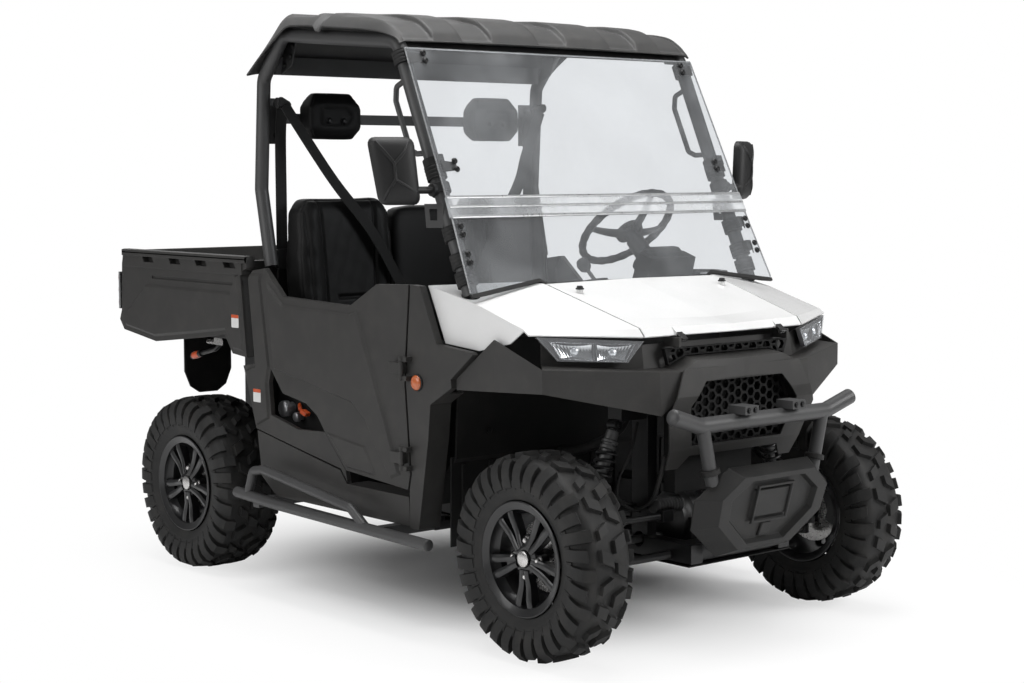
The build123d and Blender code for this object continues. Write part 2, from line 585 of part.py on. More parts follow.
COVER_BACK = [(181, 583), (302, 490), (292, 392), (150, 284)]
COVER_FRONT = [(159, 555), (239, 491), (232, 405), (120, 312)]
COVER_RECESS = [(118, 539), (196, 484), (189, 415), (84, 327)]
COVER_DEPTH = 18.0
COVER_FACE = Plane(origin=at(358, 0, 440), x_dir=(0, 1, 0), z_dir=(1, 0, -0.28))
with BuildPart() as winch_cover:
    faces = []
    for plane, half in (
        (Plane(origin=at(300, 0, 440), x_dir=(0, 1, 0), z_dir=(1, 0, -0.28)), COVER_BACK),
        (COVER_FACE, COVER_FRONT),
    ):
        with BuildSketch(plane) as face:
            with BuildLine():
                Polyline(*[(across, z - 440) for across, z in mirrored(half)], close=True)
            make_face()
        faces.append(face.sketch)
    loft(faces, ruled=True)
    emboss(COVER_FACE, [(across, z - 440) for across, z in mirrored(COVER_RECESS)], 9, -COVER_DEPTH)
    emboss(COVER_FACE.offset(-COVER_DEPTH), [(-84, -32), (84, -32), (84, 62), (-84, 62)], 4, 8)
    block((FRAME_FRONT, -160, 340), (288, 160, 420))
publish("winch_cover", winch_cover.part)

# ---------------------------------------------------------------- cabin
with BuildPart() as cushion:
    shape = [(-1290, 775), (-820, 775), (-800, 860), (-830, 895), (-1270, 870)]
    slab(side_plane(SEAT_OUT - SEAT_HALF + 12), shape, 2 * SEAT_HALF - 24)
publish("seat_cushions", both_sides(cushion.part))

with BuildPart() as back_rest:
    shape = [(-1300, 790), (-1295, 860), (-1340, 1395), (-1425, 1394), (-1425, 1110), (-1400, 790)]
    slab(side_plane(SEAT_OUT - SEAT_HALF), shape, 2 * SEAT_HALF)
    face = [(-SEAT_HALF, 790), (-SEAT_HALF, 1180), (-SEAT_HALF + 18, 1340), (-SEAT_HALF + 60, 1395)]
    slab(cross_plane(-1425), [(side * across - SEAT_OUT, z) for side, line in ((1, face), (-1, face[::-1]))
                              for across, z in line], 130, Mode.INTERSECT)
publish("seat_backs", both_sides(back_rest.part))

with BuildPart() as head_rest:
    profile = [(-1459, 1600), (-1459, 1715), (-1440, 1742), (-1405, 1742), (-1385, 1700), (-1385, 1615),
               (-1400, 1577), (-1440, 1577)]
    slab(side_plane(SEAT_OUT - 112), profile, 224)
    face = [(-112, 1615), (-112, 1690), (-78, 1742), (78, 1742), (112, 1690), (112, 1615), (84, 1577), (-84, 1577)]
    slab(cross_plane(-1459), [(across - SEAT_OUT, z) for across, z in face], 80, Mode.INTERSECT)
    pad = [(-66, 1622), (-66, 1694), (50, 1694), (78, 1658), (50, 1622)]
    emboss(cross_plane(-1385), [(across - SEAT_OUT, z) for across, z in pad], 5, -6)
publish("headrests", both_sides(head_rest.part))

MIRROR_CENTRE = (-500.0, -793.0, 1467.0)
MIRROR_TOE = 25.0
with BuildPart() as mirror_right:
    sine, cosine = math.sin(math.radians(MIRROR_TOE)), math.cos(math.radians(MIRROR_TOE))
    glass_plane = Plane(origin=at(*MIRROR_CENTRE), x_dir=(sine, cosine, 0), z_dir=(-cosine, sine, 0))
    for depth, shape in (
        (-23, [(-60, -96), (60, -96), (68, -80), (64, 84), (50, 98), (-50, 98), (-64, 84), (-68, -80)]),
        (-8, [(-70, -107), (70, -107), (76, -96), (74, 92), (58, 107), (-58, 107), (-74, 92), (-76, -96)]),
    ):
        slab(glass_plane.offset(depth), shape, 15 if depth < -10 else 31)
    tube([at(-470, -CAGE_OUT - TUBE - 0.3, 1408), at(-470, -756, 1408), at(-486, -772, 1425)], 12)
publish("mirrors", both_sides(mirror_right.part))

COLUMN_TILT = 46.0
WHEEL_CENTRE = (-675.0, SEAT_OUT, 1265.0)
STEERING_RADIUS = 178.0
column_dir = (math.cos(math.radians(COLUMN_TILT)), 0, -math.sin(math.radians(COLUMN_TILT)))


def down_column(distance: float) -> tuple[float, float, float]:
    return at(*(c + distance * d for c, d in zip(WHEEL_CENTRE, column_dir)))


with BuildPart() as column:
    rod(down_column(60), down_column(190), 32)
publish("steering_column", column.part)

with BuildPart() as steering_wheel:
    wheel_plane = Plane(origin=down_column(0), x_dir=(0, 1, 0), z_dir=column_dir)
    with Locations(wheel_plane):
        Torus(STEERING_RADIUS, 14)
    with BuildSketch(wheel_plane.offset(7)) as hub:
        Circle(52)
        for angle in (0, 90, 180):
            with Locations(Rot(0, 0, angle)):
                with Locations((STEERING_RADIUS / 2, 0)):
                    Rectangle(STEERING_RADIUS, 34)
    extrude(hub.sketch, amount=16)
    with BuildSketch(wheel_plane.offset(12)) as boss:
        Circle(26)
    extrude(boss.sketch, amount=42)
publish("steering_wheel", steering_wheel.part)

# ---------------------------------------------------------------- running gear
AXLE_Z = TYRE_RADIUS
LOWER_EYE = (KINGPIN_OUT, 240.0, 268.0)
UPPER_EYE = (KINGPIN_OUT, 372.0, 398.0)
PIN = 9.0
TIE_ROD_BACK = 100.0  # behind the axle
STEER_ARM_OUT = 505.0
SHAFT_END = KINGPIN_OUT - 40.0  # clear of a knuckle that is steered fully


def axle_plane(x: float) -> Plane:
    """Sketch in (out, radius) for what turns on the right end of an axle."""
    return Plane(origin=at(x, 0, AXLE_Z), x_dir=(0, -1, 0), z_dir=(-1, 0, 0))


def turned(x: float, outline: list, mode: Mode = Mode.ADD) -> None:
    with BuildSketch(axle_plane(x)) as face:
        with BuildLine():
            Polyline(*outline, close=True)
        make_face()
    revolve(face.sketch, axis=Axis(at(x, 0, AXLE_Z), (0, -1, 0)), mode=mode)


with BuildPart() as front_arm:
    for x in (-140, 140):
        rod(at(x, -ARM_OUT, 290), at(0, -KINGPIN_OUT, 254), 13)
    for x in (-95, 95):
        rod(at(x, -ARM_OUT, 402), at(0, -KINGPIN_OUT, 385), 11)
        near, far = sorted((math.copysign(36, x), x + math.copysign(15, x)))
        block((near, -ARM_OUT + 0.3, 385), (far, -180, 420))
    rod(at(0, -KINGPIN_OUT, LOWER_EYE[1]), at(0, -KINGPIN_OUT, LOWER_EYE[2]), 22)
    rod(at(0, -KINGPIN_OUT, UPPER_EYE[1]), at(0, -KINGPIN_OUT, UPPER_EYE[2]), 20)
    rod(at(0, -KINGPIN_OUT, 200), at(0, -KINGPIN_OUT, 420), PIN + BORE_FIT, Mode.SUBTRACT)
publish("front_arms", both_sides(front_arm.part))

with BuildPart() as knuckle:
    block((-26, -592, LOWER_EYE[2] + 5), (26, -542, UPPER_EYE[1] - 5))
    rod(at(0, -KINGPIN_OUT, LOWER_EYE[1] + 2), at(0, -KINGPIN_OUT, LOWER_EYE[2] + 10), PIN)
    rod(at(0, -KINGPIN_OUT, UPPER_EYE[1] - 10), at(0, -KINGPIN_OUT, UPPER_EYE[2] - 2), PIN)
    rod(at(0, -590, AXLE_Z), at(0, -HUB_FACE + 22, AXLE_Z), 20)
    rod(at(-10, -KINGPIN_OUT, 345), at(-TIE_ROD_BACK, -STEER_ARM_OUT, 345), 9)
    rod(at(-TIE_ROD_BACK, -STEER_ARM_OUT, 334), at(-TIE_ROD_BACK, -STEER_ARM_OUT, 356), 13)
publish("knuckle_right", knuckle.part)
publish("knuckle_left", left_of(knuckle.part))

with BuildPart() as tie_rods:
    end = STEER_ARM_OUT - 24
    rod(at(-TIE_ROD_BACK, -end, 345), at(-TIE_ROD_BACK, end, 345), 8)
    rod(at(-TIE_ROD_BACK, -150, 345), at(-TIE_ROD_BACK, 150, 345), 12)
publish("tie_rods", tie_rods.part)

with BuildPart() as rear_arm:
    for x in (REAR_AXLE - 130, REAR_AXLE + 130):
        rod(at(x, -ARM_OUT, 290), at(REAR_AXLE, -550, 262), 14)
        rod(at(x, -221, 420), at(REAR_AXLE, -550, 385), 12)
    block((REAR_AXLE - 150, -228, 400), (REAR_AXLE - 36, -190, 440))
    block((REAR_AXLE + 36, -228, 400), (REAR_AXLE + 150, -190, 440))
    block((REAR_AXLE - 28, -590, 240), (REAR_AXLE + 28, -536, 400))
    rod(at(REAR_AXLE, -588, AXLE_Z), at(REAR_AXLE, -HUB_FACE + 22, AXLE_Z), 20)
publish("rear_arms", both_sides(rear_arm.part))

with BuildPart() as shock:
    rod(at(0, -436, 420), at(0, -330, 688), 28)
    rod(at(REAR_AXLE, -436, 420), at(REAR_AXLE, -330, 628), 28)
publish("shocks", both_sides(shock.part))

with BuildPart() as shafts:
    block((-70, -80, 275), (90, 80, 380))
    rod(at(0, -SHAFT_END, AXLE_Z), at(0, SHAFT_END, AXLE_Z), 13)
    rod(at(REAR_AXLE, -535, AXLE_Z), at(REAR_AXLE, -81, AXLE_Z), 13)
    rod(at(REAR_AXLE, 81, AXLE_Z), at(REAR_AXLE, 535, AXLE_Z), 13)
publish("drive_shafts", shafts.part)

# name, axle x, tyre width, outer face of the tyre, face to rim lip
WHEELS = (
    ("front", 0.0, FRONT_TYRE_WIDTH, FRONT_TYRE_FACE, 7.0),
    ("rear", REAR_AXLE, REAR_TYRE_WIDTH, REAR_TYRE_FACE, 8.0),
)
SPOKES = 5
LUGS = 20  # in each of a tyre's two rows
LUG_DEPTH = 15.0
LUG_LENGTH = 54.0
LUG_REACH = (62.0, 88.0)  # from the tyre's face across the tread, short and long
BORE_SIDES = 10
LUG_TOP = TYRE_RADIUS - 0.3  # their flat tops' corners just reach the floor


def drum(x: float, middle: float, half: list, sides: int, mode: Mode = Mode.ADD) -> None:
    """Many-sided drum round the right end of an axle: rings of (distance from its middle, flats' radius)."""
    rings = []
    for out, radius in [*half, *((-out, radius) for out, radius in reversed(half))]:
        corner = radius / math.cos(math.pi / sides)
        rings.append([])
        for side in range(sides):
            turn = 2 * math.pi * side / sides
            rings[-1].append(at(x + corner * math.sin(turn), -middle - out, AXLE_Z + corner * math.cos(turn)))
    faceted(rings, mode)


for axle, x, width, face_out, lip_depth in WHEELS:
    middle = face_out - width / 2
    lip = face_out - lip_depth
    back = 2 * middle - lip
    with BuildPart() as rim:
        outer = [(back, RIM_LIP_RADIUS), (back + 6, RIM_LIP_RADIUS), (back + 9, RIM_RADIUS),
                 (lip - 9, RIM_RADIUS), (lip - 6, RIM_LIP_RADIUS), (lip, RIM_LIP_RADIUS)]
        inner = [(lip, RIM_LIP_RADIUS - 9), (lip - 10, RIM_RADIUS - 6), (back + 10, RIM_RADIUS - 6),
                 (back, RIM_LIP_RADIUS - 9)]
        turned(x, outer + inner)
        hub_plane = Plane(origin=at(x, -(HUB_FACE - 14), AXLE_Z), x_dir=(1, 0, 0), z_dir=(0, -1, 0))
        with BuildSketch(hub_plane) as spokes:
            Circle(HUB_RADIUS)
            with PolarLocations(0, SPOKES, start_angle=18):
                for offset in (-18, 18):
                    with Locations((RIM_RADIUS / 2, offset)):
                        Rectangle(RIM_RADIUS - 5, 22)
        extrude(spokes.sketch, amount=22)
        turned(x, [(604, 18), (604, 108), (610, 108), (610, 45), (678, 45), (678, 18)])
        turned(x, [(600, 0), (600, 20 + BORE_FIT), (672, 20 + BORE_FIT), (672, 0)], Mode.SUBTRACT)
    publish(f"rim_{axle}_right", rim.part)
    publish(f"rim_{axle}_left", left_of(rim.part))
    with BuildPart() as tyre:
        half = width / 2
        crown = TYRE_RADIUS - LUG_DEPTH
        bead = lip - 10 - middle
        wall = [(bead, RIM_LIP_RADIUS + 2), (half - 6, 284), (half - 34, crown)]
        drum(x, middle, wall, LUGS)
        drum(x, middle, [(bead, RIM_RADIUS + 1)], BORE_SIDES, Mode.SUBTRACT)
        drum(x, middle, [(bead - 18, RIM_RADIUS + 1), (half - 22, 262)], BORE_SIDES, Mode.SUBTRACT)
        for side in (1, -1):
            for odd, reach in enumerate(LUG_REACH):
                inner = half - reach
                planes = []
                for lug in range(odd, LUGS, 2):
                    turn = 2 * math.pi * (lug + (side < 0) / 2) / LUGS
                    along = (-side * math.cos(turn), 0, side * math.sin(turn))
                    planes.append(Plane(origin=at(x, -middle, AXLE_Z), x_dir=(0, -side, 0), z_dir=along))
                with BuildSketch(*[plane.offset(-LUG_LENGTH / 2) for plane in planes]) as lugs:
                    with BuildLine():
                        Polyline((half, 282), (half - 15, LUG_TOP - 5), (inner, LUG_TOP), (inner, crown - 8),
                                 (half - 30, crown - 12), (half - 14, 276), close=True)
                    make_face()
                extrude(lugs.sketch, amount=LUG_LENGTH)
    publish(f"tyre_{axle}_right", tyre.part)
    publish(f"tyre_{axle}_left", left_of(tyre.part))

# ---------------------------------------------------------------- cargo bed
PIVOT_X = REAR_AXLE - 332.0
PIVOT_Z = 790.0
GATE_X = REAR_AXLE - 487.0
GATE_Z = 880.0
BED_TOP = 1165.0
BED_SIDE = [(GATE_X + 15, BED_TOP), (-1472, BED_TOP), (-1472, 1125), (-1515, 1110), (-1478, 810), (-1568, 818),
            (-1620, 883), (-1828, 855), (-2097, 825), (GATE_X + 12, 856), (GATE_X - 20, 894), (GATE_X - 5, 930),
            (GATE_X + 2, 1108)]
BED_INNER = BED_FACE - BED_WALL
GATE_HALF = BED_INNER - 13
GATE_PIN = 7.0

BED_PANEL = [(-2302, 930), (-2165, 1038), (-1574, 1036), (-1548, 1098), (-1524, 1098), (-1490, 828), (-1560, 833),
             (-1612, 898), (-1830, 872), (-2096, 843), (-2322, 872)]
NOTCHES = (-2136.0, -1944.0, -1762.0, -1574.0)  # middles of the gaps under the rail
NOTCH = [(-36, 1122), (36, 1122), (24, 1142), (-48, 1142)]

with BuildPart() as bed:
    slab(side_plane(BED_INNER), BED_SIDE, BED_WALL - RELIEF)
    emboss(side_plane(BED_FACE - RELIEF), BED_PANEL, 9, RELIEF)
    rail = [(GATE_X + 15, 1142), (-1474, 1142), (-1474, BED_TOP), (GATE_X + 15, BED_TOP)]
    slab(side_plane(BED_INNER), rail, BED_WALL)
    teeth = [(GATE_X + 15, 1100), (-1500, 1100), (-1500, 1146), (GATE_X + 15, 1146)]
    slab(side_plane(BED_INNER), teeth, BED_WALL - RELIEF + 4)
    for x in NOTCHES:
        slab(side_plane(BED_FACE - 30), [(x + along, z) for along, z in NOTCH], 30, Mode.SUBTRACT)
    slab(side_plane(BED_FACE - RELIEF - 5), [(-2120, 1061), (-1564, 1061), (-1564, 1072), (-2120, 1072)], 20,
         Mode.SUBTRACT)
    mirror(about=Plane.XZ)
    block((GATE_X + 23, -BED_INNER, BED_FLOOR_TOP - 10), (-1500, BED_INNER, BED_FLOOR_TOP))
    front_wall = [(-1505, 1110), (-1490, BED_FLOOR_TOP - 2), (-1520, BED_FLOOR_TOP - 2), (-1520, BED_TOP - 15),
                  (-1480, BED_TOP - 15), (-1480, 1125)]
    slab(side_plane(-BED_INNER), front_wall, 2 * BED_INNER)
    for side in (-1, 1):
        inner, outer = sorted((side * 227, side * 247))
        block((PIVOT_X - 25, inner, PIVOT_Z - 25), (PIVOT_X + 25, outer, BED_FLOOR_TOP - 10))
        rod(at(PIVOT_X, side * 210, PIVOT_Z), at(PIVOT_X, side * 260, PIVOT_Z), 12 + BORE_FIT, Mode.SUBTRACT)
        rod(at(GATE_X, side * (GATE_HALF - 20), GATE_Z), at(GATE_X, side * (BED_INNER + 5), GATE_Z), GATE_PIN)
publish("bed", bed.part)

with BuildPart() as pivots:
    for side in (-1, 1):
        inner, outer = sorted((side * 180, side * 220))
        block((PIVOT_X - 30, inner, 750), (PIVOT_X + 30, outer, PIVOT_Z + 22))
        rod(at(PIVOT_X, side * 215, PIVOT_Z), at(PIVOT_X, side * 254, PIVOT_Z), 12)
publish("bed_pivots", pivots.part)

with BuildPart() as tailgate:
    block((GATE_X - 7, -GATE_HALF, GATE_Z + 4), (GATE_X + 17, GATE_HALF, BED_TOP - 5))
    outer_face = Plane(origin=at(GATE_X - 7, 0, 0), x_dir=(0, -1, 0), z_dir=(-1, 0, 0))
    for left in (-600, -180, 240):
        emboss(outer_face, [(left, 930), (left + 360, 930), (left + 360, 1110), (left, 1110)], 10, -RELIEF)
    rod(at(GATE_X, -GATE_HALF + 5, GATE_Z), at(GATE_X, GATE_HALF - 5, GATE_Z), 13)
    for side in (-1, 1):
        hole = [at(GATE_X, side * (GATE_HALF + along), GATE_Z) for along in (-24, 2)]
        rod(*hole, GATE_PIN + BORE_FIT, Mode.SUBTRACT)
publish("tailgate", tailgate.part)

with BuildPart() as tail_lamp:
    block((GATE_X - 17, -BED_FACE + 3, 935), (GATE_X - 7, -BED_INNER - 3, 1077))
publish("tail_lamps", both_sides(tail_lamp.part))

# ---------------------------------------------------------------- small fittings
FLAP_X = PIVOT_X - 10.0
with BuildPart() as flap:
    root = BED_FLOOR_TOP - 10
    across = [(-525, root), (-525, 690), (-500, 630), (-460, 604),
              (-380, 604), (-340, 630), (-315, 690), (-315, root)]
    slab(cross_plane(FLAP_X), across, 8)
publish("splash_flaps", both_sides(flap.part))

LEVER_LINE = ((-1800.0, 838.0), (-1850.0, 806.0), (-2010.0, 770.0))
LEVER_OUT = 600.0
with BuildPart() as lever:
    (root_x, root_z), _, (tip_x, tip_z) = LEVER_LINE
    block((root_x - 16, -LEVER_OUT - 12, root_z - 12), (root_x + 16, -LEVER_OUT + 12, BED_FLOOR_TOP - 10))
    tube([at(x, -LEVER_OUT, z) for x, z in LEVER_LINE], 8, 20)
    rod(at(tip_x, -LEVER_OUT, tip_z), at(tip_x + 62, -LEVER_OUT, tip_z + 14), 13)
publish("release_lever", lever.part)

# x, height, radius and length of the caps in the right-hand pocket
CAPS = ((-1352.0, 634.0, 27.0, 46.0), (-1290.0, 610.0, 16.0, 34.0))
with BuildPart() as filler_caps:
    for x, z, radius, length in CAPS:
        rod(at(x, -TUB_OUT, z), at(x, -TUB_OUT - length, z), radius)
publish("filler_caps", filler_caps.part)

with BuildPart() as signal:
    rod(at(-505, -SIDE_FACE, 803), at(-505, -SIDE_FACE - 13, 803), 24)
publish("signals", both_sides(signal.part))

# Seat belts: a reel and a strap up the rear post to the ring, then over the shoulder to the seat's inner side
STRAP = 46.0
STRAP_THICK = 3.0
BELT_RING = (-1391.0, -598.0, 1706.0)
BELT_DOWN = ((-1326.0, -420.0, 1408.0), (-1284.0, -138.0, 1010.0))
with BuildPart() as belt:
    block((-1438, -CAGE_OUT + TUBE + 0.3, REAR_WALL_TOP), (-1428, -556, REAR_WALL_TOP + 60))
    block((-1440, -602, REAR_WALL_TOP + 50), (-1440 + STRAP_THICK, -602 + STRAP, 1720))
    block((-1445, -CAGE_OUT + TUBE + 0.3, 1688), (BELT_RING[0] + 2, BELT_RING[1] + 1, 1724))
    for start, end in pairwise((BELT_RING, *BELT_DOWN)):
        run = Vector(*end) - Vector(*start)
        with BuildSketch(Plane(origin=at(*start), x_dir=run.cross(Vector(1, 0, 0)), z_dir=run)) as section:
            Rectangle(STRAP, STRAP_THICK)
        extrude(section.sketch, amount=run.length + STRAP_THICK)
publish("seat_belts", both_sides(belt.part))
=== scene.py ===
"""Looks of a two-seat side by side utility vehicle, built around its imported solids.

Meshes are in metres in the row frame: +X forward, +Y the vehicle's left, +Z up, the floor at zero.
Tables give millimetres from the front axle, the middle plane and the floor, as the solids' source does.
"""

from __future__ import annotations

import json
import logging
import math
from collections.abc import Callable
from dataclasses import dataclass, field, replace
from enum import Enum
from functools import cache

import bmesh
import bpy
import numpy as np
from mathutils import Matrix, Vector

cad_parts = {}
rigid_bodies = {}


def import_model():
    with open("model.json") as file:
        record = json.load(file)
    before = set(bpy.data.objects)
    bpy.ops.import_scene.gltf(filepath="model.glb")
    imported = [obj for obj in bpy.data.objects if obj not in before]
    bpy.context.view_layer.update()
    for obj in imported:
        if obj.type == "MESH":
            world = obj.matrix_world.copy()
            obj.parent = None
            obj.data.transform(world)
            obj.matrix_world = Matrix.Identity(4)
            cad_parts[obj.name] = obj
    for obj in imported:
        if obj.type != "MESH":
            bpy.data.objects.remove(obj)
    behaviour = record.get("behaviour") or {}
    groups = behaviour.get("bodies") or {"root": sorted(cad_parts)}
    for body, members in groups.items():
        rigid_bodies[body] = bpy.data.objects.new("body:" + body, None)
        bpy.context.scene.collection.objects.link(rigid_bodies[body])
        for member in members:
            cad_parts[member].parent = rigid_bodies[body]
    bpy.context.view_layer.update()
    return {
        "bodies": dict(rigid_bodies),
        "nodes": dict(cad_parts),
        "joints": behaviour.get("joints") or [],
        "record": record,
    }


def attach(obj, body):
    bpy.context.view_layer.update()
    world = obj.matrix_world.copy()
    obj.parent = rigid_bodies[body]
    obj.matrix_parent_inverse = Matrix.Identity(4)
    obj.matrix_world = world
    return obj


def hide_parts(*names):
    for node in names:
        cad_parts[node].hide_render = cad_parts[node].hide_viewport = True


LOG = logging.getLogger("utility_vehicle")

Point = tuple[float, float, float]
Array = np.ndarray
Table = np.ndarray | list | tuple

FRONT_AXLE_X = 987.5
WHEELBASE = 1858.0
REAR_AXLE = -WHEELBASE
TYRE_RADIUS = 318.0
RIM_LIP_RADIUS = 176.0
CAGE_OUT = 637.0
TUBE_RADIUS = 24.0
SEAT_OUT = 376.0
SIDE_FACE = 705.0
BED_FACE = 715.0
SCREEN_FOOT = (-268.0, 1091.0)
SCREEN_HEAD = (-637.0, 1856.0)
POST_FOOT = (-322.0, 1080.0)
POST_BEND = (-684.0, 1880.0)

SHARP_ANGLE = math.radians(35)
TAU = 2 * math.pi
FORWARD = np.array([1.0, 0.0, 0.0])
LEFT = np.array([0.0, 1.0, 0.0])
RIGHT = -LEFT
UP = np.array([0.0, 0.0, 1.0])
ZERO = np.zeros(3)


def at(x: float | Array, y: float | Array, z: float | Array) -> Array:
    """Points in metres from millimetres ahead of the front axle, left of the middle and above the floor."""
    return np.stack(np.broadcast_arrays(FRONT_AXLE_X + x, y, z), -1) / 1000


def unit(vector: Table) -> Array:
    """The vector, or each row of an array of vectors, at length one."""
    vector = np.asarray(vector, float)
    return vector / np.maximum(np.linalg.norm(vector, axis=-1, keepdims=True), 1e-12)


# ---------------- shader maths
class Value:
    """A socket in a node tree whose Python operators add Math nodes."""

    def __init__(self, tree: Tree, socket: bpy.types.NodeSocket) -> None:
        """Wrap an output socket of a tree, into which new nodes go."""
        self.tree = tree
        self.socket = socket

    def math(self, operation: str, *others: Value | float) -> Value:
        """Add one Math node with that operation, on this value and the others."""
        return self.tree.value("ShaderNodeMath", {"operation": operation}, dict(enumerate((self, *others))))

    def __add__(self, other: Value | float) -> Value:
        """Sum."""
        return self.math("ADD", other)

    __radd__ = __add__

    def __mul__(self, other: Value | float) -> Value:
        """Product."""
        return self.math("MULTIPLY", other)

    __rmul__ = __mul__

    def __sub__(self, other: Value | float) -> Value:
        """Difference."""
        return self.math("SUBTRACT", other)

    def __rsub__(self, other: float) -> Value:
        """Difference from a number."""
        return (self * -1.0) + other

    def size(self) -> Value:
        """Distance from zero."""
        return self.math("ABSOLUTE")

    def step(self, low: float, high: float) -> Value:
        """Zero below low, one above high and smooth between them."""
        inputs = {"Value": self, "From Min": low, "From Max": high}
        return self.tree.value("ShaderNodeMapRange", {"interpolation_type": "SMOOTHSTEP"}, inputs, "Result")


class Tree:
    """The node tree of one material or world."""

    def __init__(self, owner: bpy.types.Material | bpy.types.World) -> None:
        """Clear the tree of a material or world.

        Args:
            owner: the material or world.
        """
        owner.use_nodes = True
        self.tree = owner.node_tree
        self.tree.nodes.clear()

    def node(self, kind: str, settings: dict | None = None, inputs: dict | None = None) -> bpy.types.Node:
        """Add a node.

        Args:
            kind: the node's type.
            settings: its settings, which are set first.
            inputs: the values or links of its sockets, by name or number.

        Returns:
            The node.
        """
        made = self.tree.nodes.new(kind)
        for name, setting in (settings or {}).items():
            setattr(made, name, setting)
        for name, given in (inputs or {}).items():
            socket = made.inputs[name]
            if isinstance(given, (Value, bpy.types.NodeSocket)):
                self.tree.links.new(given.socket if isinstance(given, Value) else given, socket)
            elif socket.type == "RGBA":
                socket.default_value = (*given, 1.0)
            else:
                socket.default_value = given
        return made

    def value(self, kind: str, settings: dict | None = None, inputs: dict | None = None,
              out: str | int = 0) -> Value:
        """Add a node and take one of its outputs as a value."""
        return Value(self, self.node(kind, settings, inputs).outputs[out])

    def place(self, stretch: Point = (1.0, 1.0, 1.0)) -> Value:
        """Where a point of the surface is, in metres, scaled along each axis."""
        source = self.value("ShaderNodeTexCoord", out="Object")
        return self.value("ShaderNodeMapping", {}, {"Vector": source, "Scale": stretch})

    def noise(self, scale: float, detail: float = 2.0, place: Value | None = None) -> Value:
        """Smooth noise from 0 to 1, at scale features a metre."""
        inputs = {"Vector": place or self.place(), "Scale": scale, "Detail": detail}
        return self.value("ShaderNodeTexNoise", {}, inputs)

    def cells(self, scale: float) -> Value:
        """Distance in a cell pattern, at scale cells a metre."""
        inputs = {"Vector": self.place(), "Scale": scale}
        return self.value("ShaderNodeTexVoronoi", {"feature": "F1"}, inputs, "Distance")

    def mix(self, share: Value | float, first: Value | Point, second: Value | Point) -> Value:
        """Colour between two others."""
        return self.value("ShaderNodeMix", {"data_type": "RGBA"}, {0: share, 6: first, 7: second}, 2)

    def bump(self, height: Value, distance: float, edge: float) -> Value:
        """Normal of a surface with a relief.

        Args:
            height: the relief, from 0 to 1.
            distance: metres for a relief of one.
            edge: radius in metres by which corners look rounded, or zero.

        Returns:
            The normal.
        """
        inputs: dict = {"Height": height, "Distance": distance, "Strength": 1.0}
        if edge:
            inputs["Normal"] = self.value("ShaderNodeBevel", {"samples": 4}, {"Radius": edge})
        return self.value("ShaderNodeBump", {}, inputs)

    def blend(self, share: Value, first: bpy.types.Node, second: bpy.types.Node) -> bpy.types.Node:
        """Shader between two others."""
        return self.node("ShaderNodeMixShader", {}, {0: share, 1: first.outputs[0], 2: second.outputs[0]})

    def surface(self, shader: bpy.types.Node) -> None:
        """Join a shader to the output.

        Args:
            shader: the surface's or the world's.
        """
        world = isinstance(self.tree.id_data, bpy.types.World)
        kind = "ShaderNodeOutputWorld" if world else "ShaderNodeOutputMaterial"
        self.node(kind, {}, {"Surface": shader.outputs[0]})


# ---------------- finishes
class Grain(Enum):
    """Relief of a finish: noises of (features a metre, detail, share of the height)."""

    NONE = ((60, 1, 1.0),)
    SPARK = ((1400, 3, 0.7), (420, 2, 0.3))  # fine moulded texture
    POWDER = ((700, 2, 0.8), (160, 1, 0.2))  # powder coat's orange peel
    HIDE = ((900, 3, 0.3),)  # grained vinyl, over cells
    SKIN = ((900, 4, 0.6), (90, 2, 0.4))  # rubber with mould marks
    CAST = ((500, 5, 1.0),)  # sand casting
    BRUSH = ((1, 3, 1.0),)  # drawn metal, stretched along the piece


BRUSH_STRETCH = (60.0, 2500.0, 2500.0)
HIDE_CELLS, HIDE_SHARE = 520.0, 0.8
DUST_COLOUR = (0.16, 0.145, 0.125)
# painted shade: near black laid on the hood's hinge lugs ahead of its lip and under its skin, so they sink
# into the gap's shadow
LUG_SHADE_COLOUR = (0.008, 0.008, 0.008)
# in metres: the hinge lugs' place across the hood and half width, the hood's front lip, its skin's foot
LUG_OUT, LUG_HALF = 0.226, 0.025
HOOD_LIP_X = (FRONT_AXLE_X + 172) / 1000
HOOD_SKIN_Z = 0.969


